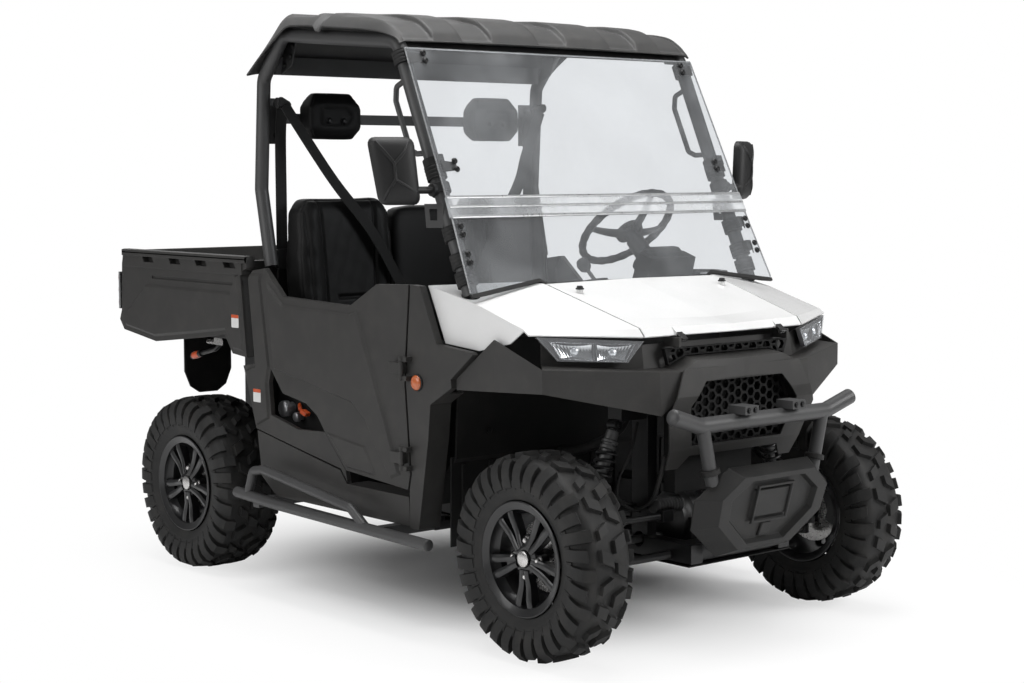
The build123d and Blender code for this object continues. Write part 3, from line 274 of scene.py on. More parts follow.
@dataclass(frozen=True)
class Finish:
    """An opaque surface whose colour drifts, with a fine relief, softened corners, a little dust and, on the
    hood, painted shade on its hinge lugs.
    """

    name: str
    colour: Point
    roughness: float = 0.5
    metallic: float = 0.0
    coat: float = 0.0
    grain: Grain = Grain.SPARK
    depth: float = 0.08  # of the relief, in millimetres
    drift: float = 0.12
    edge: float = 2.5  # radius of the softened corners, in millimetres
    dust: float = 0.0
    wear: float = 0.0
    specular: float = 0.5
    sheen: float = 0.0
    # paint shade on the hood's hinge lugs
    lugs: bool = False

    def relief(self, tree: Tree) -> Value:
        """Height from 0 to 1.

        Args:
            tree: the material's tree.

        Returns:
            The sum of the grain's noises, each times its share, and of the cells where the grain has them.
        """
        place = tree.place(BRUSH_STRETCH) if self.grain is Grain.BRUSH else None
        cells = tree.cells(HIDE_CELLS) * HIDE_SHARE if self.grain is Grain.HIDE else 0.0
        noises = (tree.noise(scale, detail, place) * share for scale, detail, share in self.grain.value)
        return sum(noises, cells)

    def hinge_lug_shade(self, tree: Tree) -> Value:
        """Mask of painted shade: one on the hood's two hinge lugs, zero elsewhere.

        Args:
            tree: the material's tree.

        Returns:
            The share: in the lugs' bands across the hood, ahead of its lip or below its skin.
        """
        split = tree.node("ShaderNodeSeparateXYZ", {}, {0: tree.place()})
        x, y, z = (Value(tree, split.outputs[axis]) for axis in "XYZ")
        band = 1.0 - (y.size() - LUG_OUT).size().step(LUG_HALF - 0.001, LUG_HALF + 0.001)
        ahead = x.step(HOOD_LIP_X, HOOD_LIP_X + 0.001)
        below = 1.0 - z.step(HOOD_SKIN_Z, HOOD_SKIN_Z + 0.001)
        return band * ahead.math("MAXIMUM", below)

    def make(self) -> bpy.types.Material:
        """Build the material.

        Returns:
            The material: base colour times a slow drift, lighter where dust lies, near black as painted shade
                on the hood's hinge lugs, over the relief.
        """
        material = bpy.data.materials.new(self.name)
        tree = Tree(material)
        slow, fine = tree.noise(7.0, 4), tree.noise(160.0, 3)
        low = tuple(channel * (1 - self.drift) for channel in self.colour)
        high = tuple(min(1.0, channel * (1 + self.drift)) for channel in self.colour)
        colour = tree.mix((slow * 0.6 + fine * 0.4).step(0.3, 0.7), low, high)
        if self.dust:
            colour = tree.mix(tree.noise(18.0, 5).step(0.42, 0.75) * self.dust, colour, DUST_COLOUR)
        if self.wear:
            bare = tuple(min(1.0, channel * 2.2 + 0.05) for channel in self.colour)
            colour = tree.mix(tree.noise(45.0, 6).step(0.62, 0.8) * self.wear, colour, bare)
        # painted shade: the hinge lugs go near black where they stand in the shadowed gap under the hood's
        # lip
        if self.lugs:
            colour = tree.mix(self.hinge_lug_shade(tree), colour, LUG_SHADE_COLOUR)
        inputs = {
            "Base Color": colour,
            "Roughness": (fine - 0.5) * 0.16 + (slow - 0.5) * 0.1 + self.roughness,
            "Metallic": self.metallic,
            "Coat Weight": self.coat,
            "Coat Roughness": 0.06,
            "Specular IOR Level": self.specular,
            "Sheen Weight": self.sheen,
            "Normal": tree.bump(self.relief(tree), self.depth / 1000, self.edge / 1000),
        }
        tree.surface(tree.node("ShaderNodeBsdfPrincipled", {"distribution": "MULTI_GGX"}, inputs))
        return material


@dataclass(frozen=True)
class Clear:
    """A clear sheet or lens: light passes straight through, with gloss by Fresnel and a little haze."""

    name: str
    tint: Point
    haze: float
    gloss: float
    haze_colour: Point = (0.8, 0.82, 0.84)

    def make(self) -> bpy.types.Material:
        """Build the material.

        Returns:
            The material: a tinted passage with patches of haze, and on its outer face a Fresnel gloss.
        """
        material = bpy.data.materials.new(self.name)
        tree = Tree(material)
        through = tree.node("ShaderNodeBsdfTransparent", {}, {"Color": self.tint})
        cloudy = tree.node("ShaderNodeBsdfDiffuse", {}, {"Color": self.haze_colour})
        shine = tree.node("ShaderNodeBsdfGlossy", {}, {"Color": (1.0, 1.0, 1.0), "Roughness": 0.03})
        smear = tree.noise(5.0, 4).step(0.3, 0.8) * self.haze + self.haze * 0.6
        outer = 1.0 - tree.value("ShaderNodeNewGeometry", out="Backfacing")
        rim = tree.value("ShaderNodeFresnel", {}, {"IOR": 1.5}) * outer * self.gloss
        tree.surface(tree.blend(rim, tree.blend(smear, through, cloudy), shine))
        return material


FINISHES = {
    "panel": Finish("charcoal_moulding", (0.028, 0.0272, 0.0262), 0.52, depth=0.1, edge=4, dust=0.04,
                    specular=0.32),
    "dark_panel": Finish("dark_moulding", (0.0065, 0.0065, 0.0065), 0.6, depth=0.1, edge=3, dust=0.02,
                         specular=0.22),
    # darker than the panel moulding: partly the cover's own darker tone, partly painted shade so its side
    # faces read as shaded
    "cover": Finish("cover_moulding", (0.0125, 0.0123, 0.012), 0.5, depth=0.1, edge=4, dust=0.03,
                    specular=0.25),
    "roof": Finish("roof_moulding", (0.030, 0.0298, 0.0295), 0.58, depth=0.16, edge=5, dust=0.06),
    "white": Finish("gloss_white", (0.70, 0.70, 0.697), 0.22, coat=0.6, grain=Grain.POWDER, depth=0.01,
                    drift=0.012, edge=5),
    "frame": Finish("black_powder_coat", (0.006, 0.006, 0.0064), 0.42, grain=Grain.POWDER, depth=0.05,
                    dust=0.03, specular=0.35),
    "tube": Finish("textured_tube_coat", (0.038, 0.038, 0.0385), 0.46, grain=Grain.POWDER, depth=0.09,
                   edge=1.5, specular=0.45),
    "rubber": Finish("black_rubber", (0.010, 0.010, 0.010), 0.6, grain=Grain.SKIN, depth=0.06, dust=0.04,
                     specular=0.3),
    "tyre": Finish("tyre_rubber", (0.0105, 0.0104, 0.0102), 0.62, grain=Grain.SKIN, depth=0.18, drift=0.25,
                   dust=0.05, edge=2, specular=0.30),
    "alloy": Finish("gloss_black_alloy", (0.0055, 0.0055, 0.006), 0.32, coat=0.2, grain=Grain.POWDER,
                    depth=0.02, edge=2, specular=0.4),
    "vinyl": Finish("seat_vinyl", (0.0032, 0.0032, 0.0032), 0.52, grain=Grain.HIDE, depth=0.22, edge=0,
                    drift=0.18, sheen=0.03, specular=0.2),
    "foam": Finish("headrest_skin", (0.0035, 0.0035, 0.0036), 0.5, grain=Grain.HIDE, depth=0.12, edge=0,
                   specular=0.16),
    "webbing": Finish("belt_webbing", (0.008, 0.008, 0.008), 0.7, grain=Grain.POWDER, depth=0.2, sheen=0.15,
                      specular=0.25),
    "grip": Finish("soft_grip", (0.0075, 0.0075, 0.0077), 0.52, depth=0.12, specular=0.35),
    "cast": Finish("bare_casting", (0.10, 0.10, 0.10), 0.55, metallic=0.8, grain=Grain.CAST, depth=0.2,
                   wear=0.3),
    "steel": Finish("zinc_steel", (0.52, 0.51, 0.50), 0.28, metallic=1.0, grain=Grain.BRUSH, depth=0.02,
                    edge=1),
    "aluminium": Finish("cast_alloy", (0.30, 0.30, 0.31), 0.42, metallic=0.9, grain=Grain.CAST, depth=0.12),
    "bolt": Finish("black_bolt", (0.012, 0.012, 0.0125), 0.34, metallic=0.5, grain=Grain.NONE, depth=0.02,
                   edge=0.8),
    # painted highlight: silver strips standing in for the glint on the clear screen's edges and joint
    "edge_glint": Finish("painted_edge_glint", (0.30, 0.305, 0.31), 0.3, metallic=0.5, coat=0.3, grain=Grain.BRUSH,
                   depth=0.02, drift=0.2),
    "silver": Finish("lamp_reflector", (0.78, 0.79, 0.80), 0.16, metallic=1.0, grain=Grain.NONE, depth=0.01,
                     edge=1),
    "lens_white": Finish("lamp_dome", (0.72, 0.74, 0.76), 0.08, metallic=0.6, coat=1.0, grain=Grain.NONE,
                         depth=0.01),
    "lamp_body": Finish("lamp_housing", (0.20, 0.20, 0.205), 0.22, metallic=0.4, coat=0.5, depth=0.02,
                        edge=2),
    "red": Finish("red_lens", (0.30, 0.008, 0.006), 0.2, coat=0.8, grain=Grain.NONE, depth=0.01),
    "orange": Finish("orange_plastic", (0.50, 0.068, 0.012), 0.4, coat=0.1, depth=0.05),
    "amber": Finish("amber_reflector", (0.44, 0.10, 0.022), 0.25, coat=0.6, grain=Grain.NONE, depth=0.01),
    "display": Finish("instrument_display", (0.02, 0.024, 0.03), 0.12, coat=0.8, grain=Grain.NONE,
                      depth=0.01),
    "label": Finish("blank_label", (0.60, 0.60, 0.59), 0.4, grain=Grain.NONE, depth=0.01, drift=0.03,
                    edge=0.3),
    "screen": Clear("hard_coated_screen", (0.852, 0.863, 0.875), haze=0.07, gloss=0.9),
    "strip": Clear("clear_strip", (0.80, 0.81, 0.815), haze=0.30, gloss=1.0),
    "lens": Clear("lamp_lens", (0.95, 0.96, 0.97), haze=0.01, gloss=1.0),
}
# the hood's white, with painted shade on its hinge lugs
FINISHES["hood"] = replace(FINISHES["white"], name="hood_white", lugs=True)


@cache
def material_of(finish: str) -> bpy.types.Material:
    """The material of a finish, made once."""
    return FINISHES[finish].make()


# ---------------- shapes
@dataclass
class Shape:
    """Points and faces, put together as whole arrays."""

    points: Array = field(default_factory=lambda: np.zeros((0, 3)))
    faces: list[Array] = field(default_factory=list)

    def __add__(self, other: Shape) -> Shape:
        """Both shapes in one."""
        moved = [face + len(self.points) for face in other.faces]
        return Shape(np.vstack([self.points, other.points]), [*self.faces, *moved])

    def turned(self, matrix: Array) -> Shape:
        """Every point times a 3 by 3 matrix; a mirror turns the faces round."""
        faces = self.faces if np.linalg.det(matrix) > 0 else [face[:, ::-1] for face in self.faces]
        return Shape(self.points @ matrix.T, faces)

    def both_sides(self) -> Shape:
        """The shape and its mirror image in the middle plane."""
        return self + self.turned(np.diag([1.0, -1.0, 1.0]))

    def copies(self, shifts: Array, matrix: Array = np.eye(3)) -> Shape:
        """The shape times a matrix, at many places.

        Args:
            shifts: (n, 3) places.
            matrix: 3 by 3 rotation that every copy takes.

        Returns:
            The copies, as one array sum.
        """
        moved = (self.points @ matrix.T)[None] + np.asarray(shifts)[:, None]
        offsets = np.arange(len(shifts))[:, None, None] * len(self.points)
        faces = [(face + offsets).reshape(-1, face.shape[1]) for face in self.faces]
        return Shape(moved.reshape(-1, 3), faces)

    def build(self, name: str, smooth: bool = True) -> bpy.types.Object:
        """Put the shape into a mesh object at the origin.

        Args:
            name: the object's name.
            smooth: shade across faces that meet at less than the sharp angle.

        Returns:
            The object.
        """
        mesh = bpy.data.meshes.new(name)
        mesh.from_pydata(self.points.tolist(), [], [row for face in self.faces for row in face.tolist()])
        mesh.validate()
        shell = bmesh.new()
        shell.from_mesh(mesh)
        bmesh.ops.recalc_face_normals(shell, faces=shell.faces)
        shell.to_mesh(mesh)
        shell.free()
        if smooth:
            mesh.shade_smooth()
            mesh.set_sharp_from_angle(angle=SHARP_ANGLE)
        return link(bpy.data.objects.new(name, mesh))


def link(made: bpy.types.Object) -> bpy.types.Object:
    """Put an object into the scene."""
    bpy.context.scene.collection.objects.link(made)
    return made


def grid(points: Array, loop_rows: bool = False, loop_columns: bool = False,
         close_ends: bool = False) -> Shape:
    """Quads over an array of points.

    Args:
        points: array of (rows, columns, 3).
        loop_rows: join the last row to the first.
        loop_columns: join the last column to the first.
        close_ends: close the first and last rows with one face each.

    Returns:
        The surface: face (i, j) has corners (i, j), (i, j+1), (i+1, j+1), (i+1, j).
    """
    number = np.arange(points[..., 0].size).reshape(points.shape[:2])
    below = np.roll(number, -1, 0) if loop_rows else number[1:]
    above = number if loop_rows else number[:-1]
    if loop_columns:
        quads = np.stack([above, np.roll(above, -1, 1), np.roll(below, -1, 1), below], -1)
    else:
        quads = np.stack([above[:, :-1], above[:, 1:], below[:, 1:], below[:, :-1]], -1)
    faces = [quads.reshape(-1, 4)]
    if close_ends:
        faces += [number[:1, ::-1], number[-1:]]
    return Shape(points.reshape(-1, 3), faces)


def tube(rings: Array | list) -> Shape:
    """Quads over rings of points, closed at both ends."""
    return grid(np.asarray(rings), loop_columns=True, close_ends=True)


def revolved(profile: Table, centre: Array, axis: Table, steps: int) -> Shape:
    """A profile carried round an axis.

    Args:
        profile: (distance along the axis, radius) in millimetres.
        centre: place of the profile's zero, in metres.
        axis: direction of the axis.
        steps: facets round it.

    Returns:
        The surface, closed at both ends: p(u, v) = c + a z(u) + r(u) (e cos v + f sin v).
    """
    profile, axis = np.asarray(profile, float) / 1000, unit(axis)
    first = unit(np.cross(axis, UP if abs(axis[2]) < 0.9 else FORWARD))
    turn = np.arange(steps) * TAU / steps
    ring = np.cos(turn)[:, None] * first + np.sin(turn)[:, None] * np.cross(axis, first)
    return tube(centre + profile[:, :1, None] * axis + profile[:, 1:, None] * ring)


def run_along(path: Array) -> Array:
    """Distance along a path to each of its points."""
    return np.concatenate([[0], np.cumsum(np.linalg.norm(np.diff(path, axis=0), axis=1))])


def smooth_path(points: Table, count: int) -> Array:
    """A curve through points.

    Args:
        points: what it passes through.
        count: points of the result.

    Returns:
        The Catmull-Rom curve, at even steps of its parameter:
        (2b + (c - a) t + (2a - 5b + 4c - d) t^2 + (3b - a - 3c + d) t^3) / 2 between b and c.
    """
    points = np.asarray(points, float)
    ends = np.vstack([2 * points[0] - points[1], points, 2 * points[-1] - points[-2]])
    place = np.linspace(0, len(points) - 1 - 1e-9, count)
    span = place.astype(int)
    t = (place - span)[:, None]
    a, b, c, d = (ends[span + k] for k in range(4))
    return 0.5 * (2 * b + (c - a) * t + (2 * a - 5 * b + 4 * c - d) * t**2 + (3 * b - a - 3 * c + d) * t**3)


def bent_path(points: Table, bend: float, steps: int = 6) -> Array:
    """Straight runs whose corners are rounded.

    Args:
        points: the ends and corners.
        bend: distance from a corner at which its arc starts, in the points' unit.
        steps: points of each arc.

    Returns:
        The path; its corners are arcs of parabola, q(t) = (1-t)^2 a + 2t(1-t) p + t^2 b.
    """
    points = np.asarray(points, float)
    path = [points[:1]]
    t = np.linspace(0, 1, steps)[:, None]
    for before, corner, after in zip(points, points[1:], points[2:]):
        reach = min(bend, np.linalg.norm(corner - before) * 0.45, np.linalg.norm(after - corner) * 0.45)
        first, last = corner + unit(before - corner) * reach, corner + unit(after - corner) * reach
        path.append((1 - t) ** 2 * first + 2 * t * (1 - t) * corner + t**2 * last)
    return np.vstack([*path, points[-1:]])


def helix(start: Array, end: Array, radius: float, turns: float, steps: int = 20) -> Array:
    """Middle line of a coil.

    Args:
        start: one end of its axis.
        end: the other end.
        radius: of the coil, in millimetres.
        turns: how many.
        steps: points of a turn.

    Returns:
        p(t) = a + t (b - a) + r (e cos 2 pi n t + f sin 2 pi n t).
    """
    axis = unit(end - start)
    first = unit(np.cross(axis, [0.0, 1.0, 0.2]))
    t = np.linspace(0, 1, int(turns * steps))[:, None]
    ring = np.cos(TAU * turns * t) * first + np.sin(TAU * turns * t) * np.cross(axis, first)
    return start + t * (end - start) + radius / 1000 * ring


def swept(path: Table, section: Array, side: Table = UP) -> Shape:
    """A closed section carried along a path.

    Args:
        path: (n, 3) points in metres.
        section: (m, 2) points in millimetres, or (n, m, 2) where it changes on the way.
        side: direction that the section's first axis keeps square to.

    Returns:
        The tube, closed at both ends: p(i, j) = path(i) + s(i, j).x first(i) + s(i, j).y second(i).
    """
    path = np.asarray(path, float)
    forward = unit(np.gradient(path, axis=0))
    first = unit(np.cross(np.broadcast_to(side, forward.shape), forward))
    second = np.cross(forward, first)
    section = np.broadcast_to(section, (len(path), *section.shape[-2:])) / 1000
    return tube(path[:, None] + section[..., :1] * first[:, None] + section[..., 1:] * second[:, None])


def circle(radius: float, steps: int = 12) -> Array:
    """Points round a circle."""
    turn = np.arange(steps) * TAU / steps
    return radius * np.stack([np.cos(turn), np.sin(turn)], 1)


def box(width: float, height: float) -> Array:
    """Corners of a rectangle, anticlockwise round its middle."""
    return np.array([[-1, -1], [1, -1], [1, 1], [-1, 1]]) * [width / 2, height / 2]


def rounded(width: float, height: float, corner: float, steps: int = 3) -> Array:
    """Outline of a rectangle with round corners.

    Args:
        width: its first size.
        height: its second size.
        corner: radius of its corners.
        steps: points of each corner.

    Returns:
        The points, anticlockwise round its middle.
    """
    centres = np.array([[1, 1], [-1, 1], [-1, -1], [1, -1]]) * [width / 2 - corner, height / 2 - corner]
    turn = (np.arange(4)[:, None] * 90 + np.linspace(0, 90, steps)) * math.pi / 180
    return (centres[:, None] + corner * np.stack([np.cos(turn), np.sin(turn)], -1)).reshape(-1, 2)


def slab(outline: Table, origin: Array, first: Table, second: Table, depth: float,
         bevel: float = 1.5) -> Shape:
    """A flat outline given thickness.

    Args:
        outline: points in millimetres, anticlockwise seen from the front.
        origin: where the outline's zero is, in metres.
        first: direction of its first axis.
        second: direction of its second axis.
        depth: millimetres behind the front face.
        bevel: millimetres that the front edge draws in.

    Returns:
        The plate, its front face in the origin's plane and towards first x second.
    """
    outline, first, second = np.asarray(outline, float), unit(first), unit(second)
    spread = outline - outline.mean(0)
    drawn_in = outline - spread * bevel / np.maximum(np.linalg.norm(spread, axis=1, keepdims=True), 0.001)
    rings = ((outline, -depth), (outline, -bevel), (drawn_in, 0.0))
    out = np.cross(first, second)
    return tube([origin + (ring[:, :1] * first + ring[:, 1:] * second + rise * out) / 1000
                 for ring, rise in rings])


def rod(start: Array, end: Array, radius: float, steps: int = 20) -> Shape:
    """A round bar with crowned ends.

    Args:
        start: middle of one end, in metres.
        end: middle of the other.
        radius: in millimetres.
        steps: facets round it.

    Returns:
        The bar; its ends rise by 0.08 of the radius.
    """
    length, rise = 1000 * math.dist(start, end), radius * 0.08
    half = [(-rise, radius * 0.05), (-rise * 0.8, radius * 0.55), (-rise * 0.35, radius * 0.88), (0, radius)]
    return revolved(half + [(length - along, wide) for along, wide in half[::-1]], start, end - start, steps)


def bolts(places: Table, facing: Array, radius: float, height: float = 4.0) -> Shape:
    """Hexagon bolt heads on round washers.

    Args:
        places: a point for each, in metres.
        facing: direction that their heads face.
        radius: of the hexagon, in millimetres.
        height: from the seat to the top, in millimetres.

    Returns:
        The heads and washers.
    """
    wide, low = radius * 1.5, height * 0.3
    washer = [(0.0, wide), (low, wide)]
    head = revolved([*washer, (low, radius), (height * 0.85, radius), (height, radius * 0.82)], ZERO, UP, 6)
    aside = unit(np.cross(facing, [0.31, 0.2, 0.93]))
    matrix = np.stack([aside, np.cross(facing, aside), facing], -1)
    return (head + revolved(washer, ZERO, UP, 14)).copies(places, matrix)


def add_piece(shape: Shape, name: str, finish: str, slot: str, *replaces: str, body: str = "chassis",
              smooth: bool = True) -> bpy.types.Object:
    """Build a piece, dress it and let it ride on its body.

    Args:
        shape: its surface.
        name: the piece's name.
        finish: name of its finish.
        slot: the record's material slot.
        replaces: solids that it stands for.
        body: the body that it rides on.
        smooth: shade smoothly.

    Returns:
        The piece's object.
    """
    made = shape.build(name, smooth)
    made.data.materials.append(material_of(finish))
    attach(made, body)
    if replaces:
        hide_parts(*replaces)
    LOG.info("%s: %d points on %s", name, len(shape.points), body)
    return made


# ---------------- wheels
@dataclass
class Tyre:
    """A mud tyre: a carcass turned from a smooth profile, with shoulder lugs and rows of centre blocks."""

    centre_x: float
    width: float
    face: float
    lip: float
    rows: tuple
    row_half: float
    shoulder_lugs: int = 32
    lug_depth: float = 15.0
    draft: float = 2.2
    foot: float = -1.5
    steps: int = 128

    def profile(self, across: Array, height: float) -> Array:
        """Points of the section, lifted along its normal.

        Args:
            across: from -1 at the inner bead, through 0 at the crown, to 1 at the outer bead.
            height: millimetres above the carcass.

        Returns:
            (distance from the tyre's middle, radius): a smooth curve through the crown, shoulder,
            widest point and bead, plus height times the curve's outward normal.
        """
        half, crown = self.width / 2, TYRE_RADIUS - self.lug_depth
        bead = self.lip - 8 - (self.face - half)
        knots = np.array([[0, crown], [half * 0.45, crown - 1.0], [half - 34, crown - 5],
                          [half - 17, crown - 17], [half - 8, crown - 38], [half - 3.5, crown - 66],
                          [half - 5, crown - 92], [half - 11, crown - 110], [bead, RIM_LIP_RADIUS + 1.5]])
        curve = smooth_path(np.vstack([knots[:0:-1] * [-1, 1], knots]), 400)
        run = run_along(curve)
        run = run / run[-1] * 2 - 1
        tangent = unit(np.gradient(curve, axis=0))
        lifted = curve + height * np.stack([-tangent[:, 1], tangent[:, 0]], 1)
        return np.stack([np.interp(across, run, lifted[:, k]) for k in (0, 1)], -1)

    def wrap(self, across: Array, turn: Array, height: Array) -> Array:
        """Points on the right-hand tyre.

        Args:
            across: share across the section.
            turn: angle about the axle.
            height: millimetres above the carcass.

        Returns:
            The section's points, turned about the axle.
        """
        base = self.profile(across, 0.0)
        point = base + height[..., None] * (self.profile(across, 1.0) - base)
        out, radius = point[..., 0] + self.face - self.width / 2, point[..., 1]
        return at(self.centre_x + radius * np.sin(turn), -out, TYRE_RADIUS + radius * np.cos(turn))

    def carcass(self) -> Shape:
        """The closed casing.

        Returns:
            The outer section from bead to bead with a raised ring on each wall, and back inside it.
        """
        wall = np.linspace(0.62, 1, 14)
        outer = np.concatenate([-wall[::-1], np.linspace(-0.6, 0.6, 15), wall])
        ring = 1.6 * np.exp(-(((np.abs(outer) - 0.86) / 0.006) ** 2))
        inside = np.where(np.abs(outer[::-1]) > 0.97, -3.0, -9.0)
        share, height = np.concatenate([outer, outer[::-1]]), np.concatenate([ring, inside])
        turn = np.arange(self.steps) * TAU / self.steps
        return grid(self.wrap(share[:, None], turn, height[:, None]), loop_rows=True, loop_columns=True)

    def lugs(self, turns: Array, shares: Array, length: float, slant: float, tops: Array) -> Shape:
        """Blocks on the carcass: a top, two flanks and two ends each.

        Args:
            turns: angle of each block's middle.
            shares: shares across the section, from one end of a block to the other.
            length: millimetres round the tyre.
            slant: millimetres that the far end leads the near end.
            tops: height at each share.

        Returns:
            The blocks, whose walls spread by the draft down to a foot under the carcass.
        """
        toe = np.array([-0.012, *np.zeros(len(shares)), 0.012]) * np.sign(shares[-1] - shares[0])
        lead = np.pad(slant * np.linspace(-0.5, 0.5, len(shares)), 1, "edge")
        radius = np.pad(self.profile(shares, 0.0)[:, 1], 1, "edge")
        high = np.full((len(toe), 4), self.foot)
        high[1:-1, 1:3] = tops[:, None]
        sides = np.array([-0.5, -0.5, 0.5, 0.5]) * length + np.array([-1, 0, 0, 1]) * self.draft
        angle = turns[:, None, None] + (lead[:, None] + sides) / radius[:, None]
        points = self.wrap((np.pad(shares, 1, "edge") + toe)[:, None], angle, high)
        offsets = np.arange(len(turns))[:, None, None] * high.size
        return Shape(points.reshape(-1, 3), [(grid(points[0]).faces[0] + offsets).reshape(-1, 4)])

    def tread(self) -> Shape:
        """Shoulder lugs, long and short by turns and staggered left to right, and chunky centre blocks.

        Returns:
            The lugs, the small bars between them on the walls, and the blocks.
        """
        depth, step = self.lug_depth, TAU / self.shoulder_lugs
        turns, pitch = np.arange(self.shoulder_lugs) * step, step * TYRE_RADIUS
        total = Shape()
        for side, stagger in ((1, 0.0), (-1, step / 2)):
            for odd, reach in ((0, 0.33), (1, 0.42)):
                shares = side * np.array([0.80, 0.72, 0.64, 0.55, 0.47, reach])
                tops = np.array([3.5, 6.0, depth * 0.78, depth * 0.94, depth, depth])
                total += self.lugs(turns[odd::2] + stagger, shares, pitch * 0.55, side * 12.0, tops)
            shares, tops = side * np.array([0.84, 0.80, 0.76, 0.70]), np.array([1.5, 3.0, 4.0, 4.5])
            total += self.lugs(turns + stagger + step / 2, shares, pitch * 0.16, 0.0, tops)
        count = self.shoulder_lugs * 3 // 4
        for row, spot in enumerate(self.rows):
            angles = (np.arange(count) + row * 0.5) * TAU / count
            for odd, (length, share) in enumerate(((28.0, 0.86), (36.0, 1.0))):
                shares = spot + self.row_half * share * np.array([1.0, 0.4, -0.4, -1.0])
                slant = 20.0 * (-1) ** (row + odd)
                total += self.lugs(angles[odd::2], shares, length, slant, np.full(4, depth))
        return total


@dataclass
class Rim:
    """A five-spoke alloy whose spokes are pairs of bars, with its cap, nuts, drilled disc and calliper."""

    centre_x: float
    lip: float
    back: float
    spokes: int = 5
    nuts: int = 4
    nut_back: float = 15.0
    disc_back: float = 112.0
    # distance from the lip's face, radius
    outer: tuple = ((0, 172), (-1.5, 175.2), (-4, 175.8), (-7, 172), (-8.5, 156), (-30, 152.4), (-44, 140))
    inner: tuple = ((-40, 134.5), (-26, 146), (-9, 149), (-2.5, 164))
    # distance from the back's face, radius
    outer_back: tuple = ((60, 140), (30, 152.4), (8.5, 156), (7, 172), (4, 175.8), (0, 174), (0, 168),
                         (12, 147), (40, 144), (64, 134.5))
    # distance from the lip's face, radius
    hub: tuple = ((-58, 18), (-58, 50), (-30, 52), (-22, 48), (-20, 34), (-20, 27), (-26, 25), (-28, 18))
    cap_line: tuple = ((-30, 0.5), (-30, 23), (-14, 24.5), (-11.5, 24), (-10.5, 21.5), (-9.6, 18), (-8.4, 9),
                       (-8.2, 0.5))
    # distance from the nuts' plane, radius
    nut: tuple = ((-30, 10.5), (-8, 10.5), (-4, 9), (0, 5), (1, 0.6))
    nut_seat: tuple = ((-30, 13.5), (-16, 13.5), (-13, 11))
    boss: tuple = ((-40, 19), (-14, 18), (-12, 15), (-18, 13.5), (-18, 1))
    # distance from the disc's back, radius
    disc_ring: tuple = ((0, 64), (5, 64), (5, 112), (0, 112))
    carrier: tuple = ((-4, 18), (-4, 66), (0, 68), (0, 18))
    jaw: tuple = ((-16, 78), (20, 78), (24, 84), (24, 122), (18, 128), (-16, 128))
    # distance from the disc's front, radius
    hole: tuple = ((0, 4.2), (1.2, 3.6), (1.2, 2), (0, 1.8))

    def point(self, out: Array, radius: Array, turn: Array) -> Array:
        """Points on the right side: distance out, radius and angle about the axle."""
        return at(self.centre_x + radius * np.sin(turn), -out, TYRE_RADIUS + radius * np.cos(turn))

    def turned(self, line: Table, start: float, steps: int, loop: bool = True) -> Shape:
        """A profile turned about the axle.

        Args:
            line: (distance out, radius).
            start: distance out that the line counts from.
            steps: facets round it.
            loop: join the profile's ends, or close each with a face.

        Returns:
            The surface.
        """
        line = np.asarray(line, float)
        points = self.point(start + line[:, :1], line[:, 1:], np.arange(steps) * TAU / steps)
        return grid(points, loop_rows=loop, loop_columns=True, close_ends=not loop)

    def studs(self, shape: Shape, out: float, radius: Array, turn: Array) -> Shape:
        """A small shape that faces out, at each radius and angle."""
        return shape.copies(self.point(out, radius, turn))

    def spoke_tube(self, turn: float, radius: Array, across: Array, out: Array) -> Shape:
        """A closed tube that runs out along a spoke's line.

        Args:
            turn: the line's angle about the axle.
            radius: of each section.
            across: distance of each section's points from the line.
            out: how far out they lie.

        Returns:
            The tube.
        """
        radius = radius[:, None]
        return tube(self.point(out, np.hypot(radius, across), turn + np.arctan2(across, radius))[:, ::-1])

    def bar(self, turn: float, side: int) -> Shape:
        """One bar of a spoke: a tapered box that drifts off the spoke's line, its front raised to a ridge.

        Args:
            turn: the spoke's angle.
            side: 1 or -1, the side of the spoke's line.

        Returns:
            The bar.
        """
        share = np.linspace(0, 1, 9)
        dip = 12 * np.sin(share * math.pi * 0.9) ** 2 * (1 - share)
        front = self.lip - 13 - dip + 4 * share - 5 * share**4
        section = np.array([[-1, -1], [-0.9, -0.12], [-0.35, 0], [0.35, 0], [0.9, -0.12], [1, -1]])
        across = side * (9.5 + 17.5 * share**1.2)[:, None] + section[:, 0] * (10.5 + 4.5 * share)[:, None]
        out = front[:, None] + section[:, 1] * (26 + 10 * share)[:, None]
        return self.spoke_tube(turn, 34 + share * 116, across, out)

    def web(self, turn: float) -> Shape:
        """The recessed web between a pair's bars, from the hub to half way out.

        Args:
            turn: the spoke's angle.

        Returns:
            The web.
        """
        share = np.linspace(0, 1, 5)
        section = np.array([[-1.0, -14.0], [-1.0, 0.0], [1.0, 0.0], [1.0, -14.0]])
        across = section[:, 0] * (9 + 4 * share)[:, None]
        out = (self.lip - 30 - 6 * share)[:, None] + section[:, 1]
        return self.spoke_tube(turn, 30 + share * 74, across, out)

    def alloy(self) -> Shape:
        """Barrel with bead seats, drop centre and rolled lips, hub, spokes and the nuts' bosses.

        Returns:
            The whole alloy.
        """
        drop = np.array(self.outer_back) + [self.back - self.lip, 0]
        shape = self.turned([*self.outer, *drop, *self.inner], self.lip, 96)
        shape += self.turned(self.hub, self.lip, 60)
        for turn in math.pi + np.arange(self.spokes) * TAU / self.spokes:
            shape += self.bar(turn, 1) + self.bar(turn, -1) + self.web(turn)
        boss = revolved(self.boss, ZERO, RIGHT, 24)
        return shape + self.studs(boss, self.lip - self.nut_back, 54.0, self.nut_turns())

    def nut_turns(self) -> Array:
        """Angle of each nut."""
        return np.arange(self.nuts) * TAU / self.nuts

    def cap(self) -> Shape:
        """A plain domed centre cap with a rolled edge."""
        return self.turned(self.cap_line, self.lip, 40, loop=False)

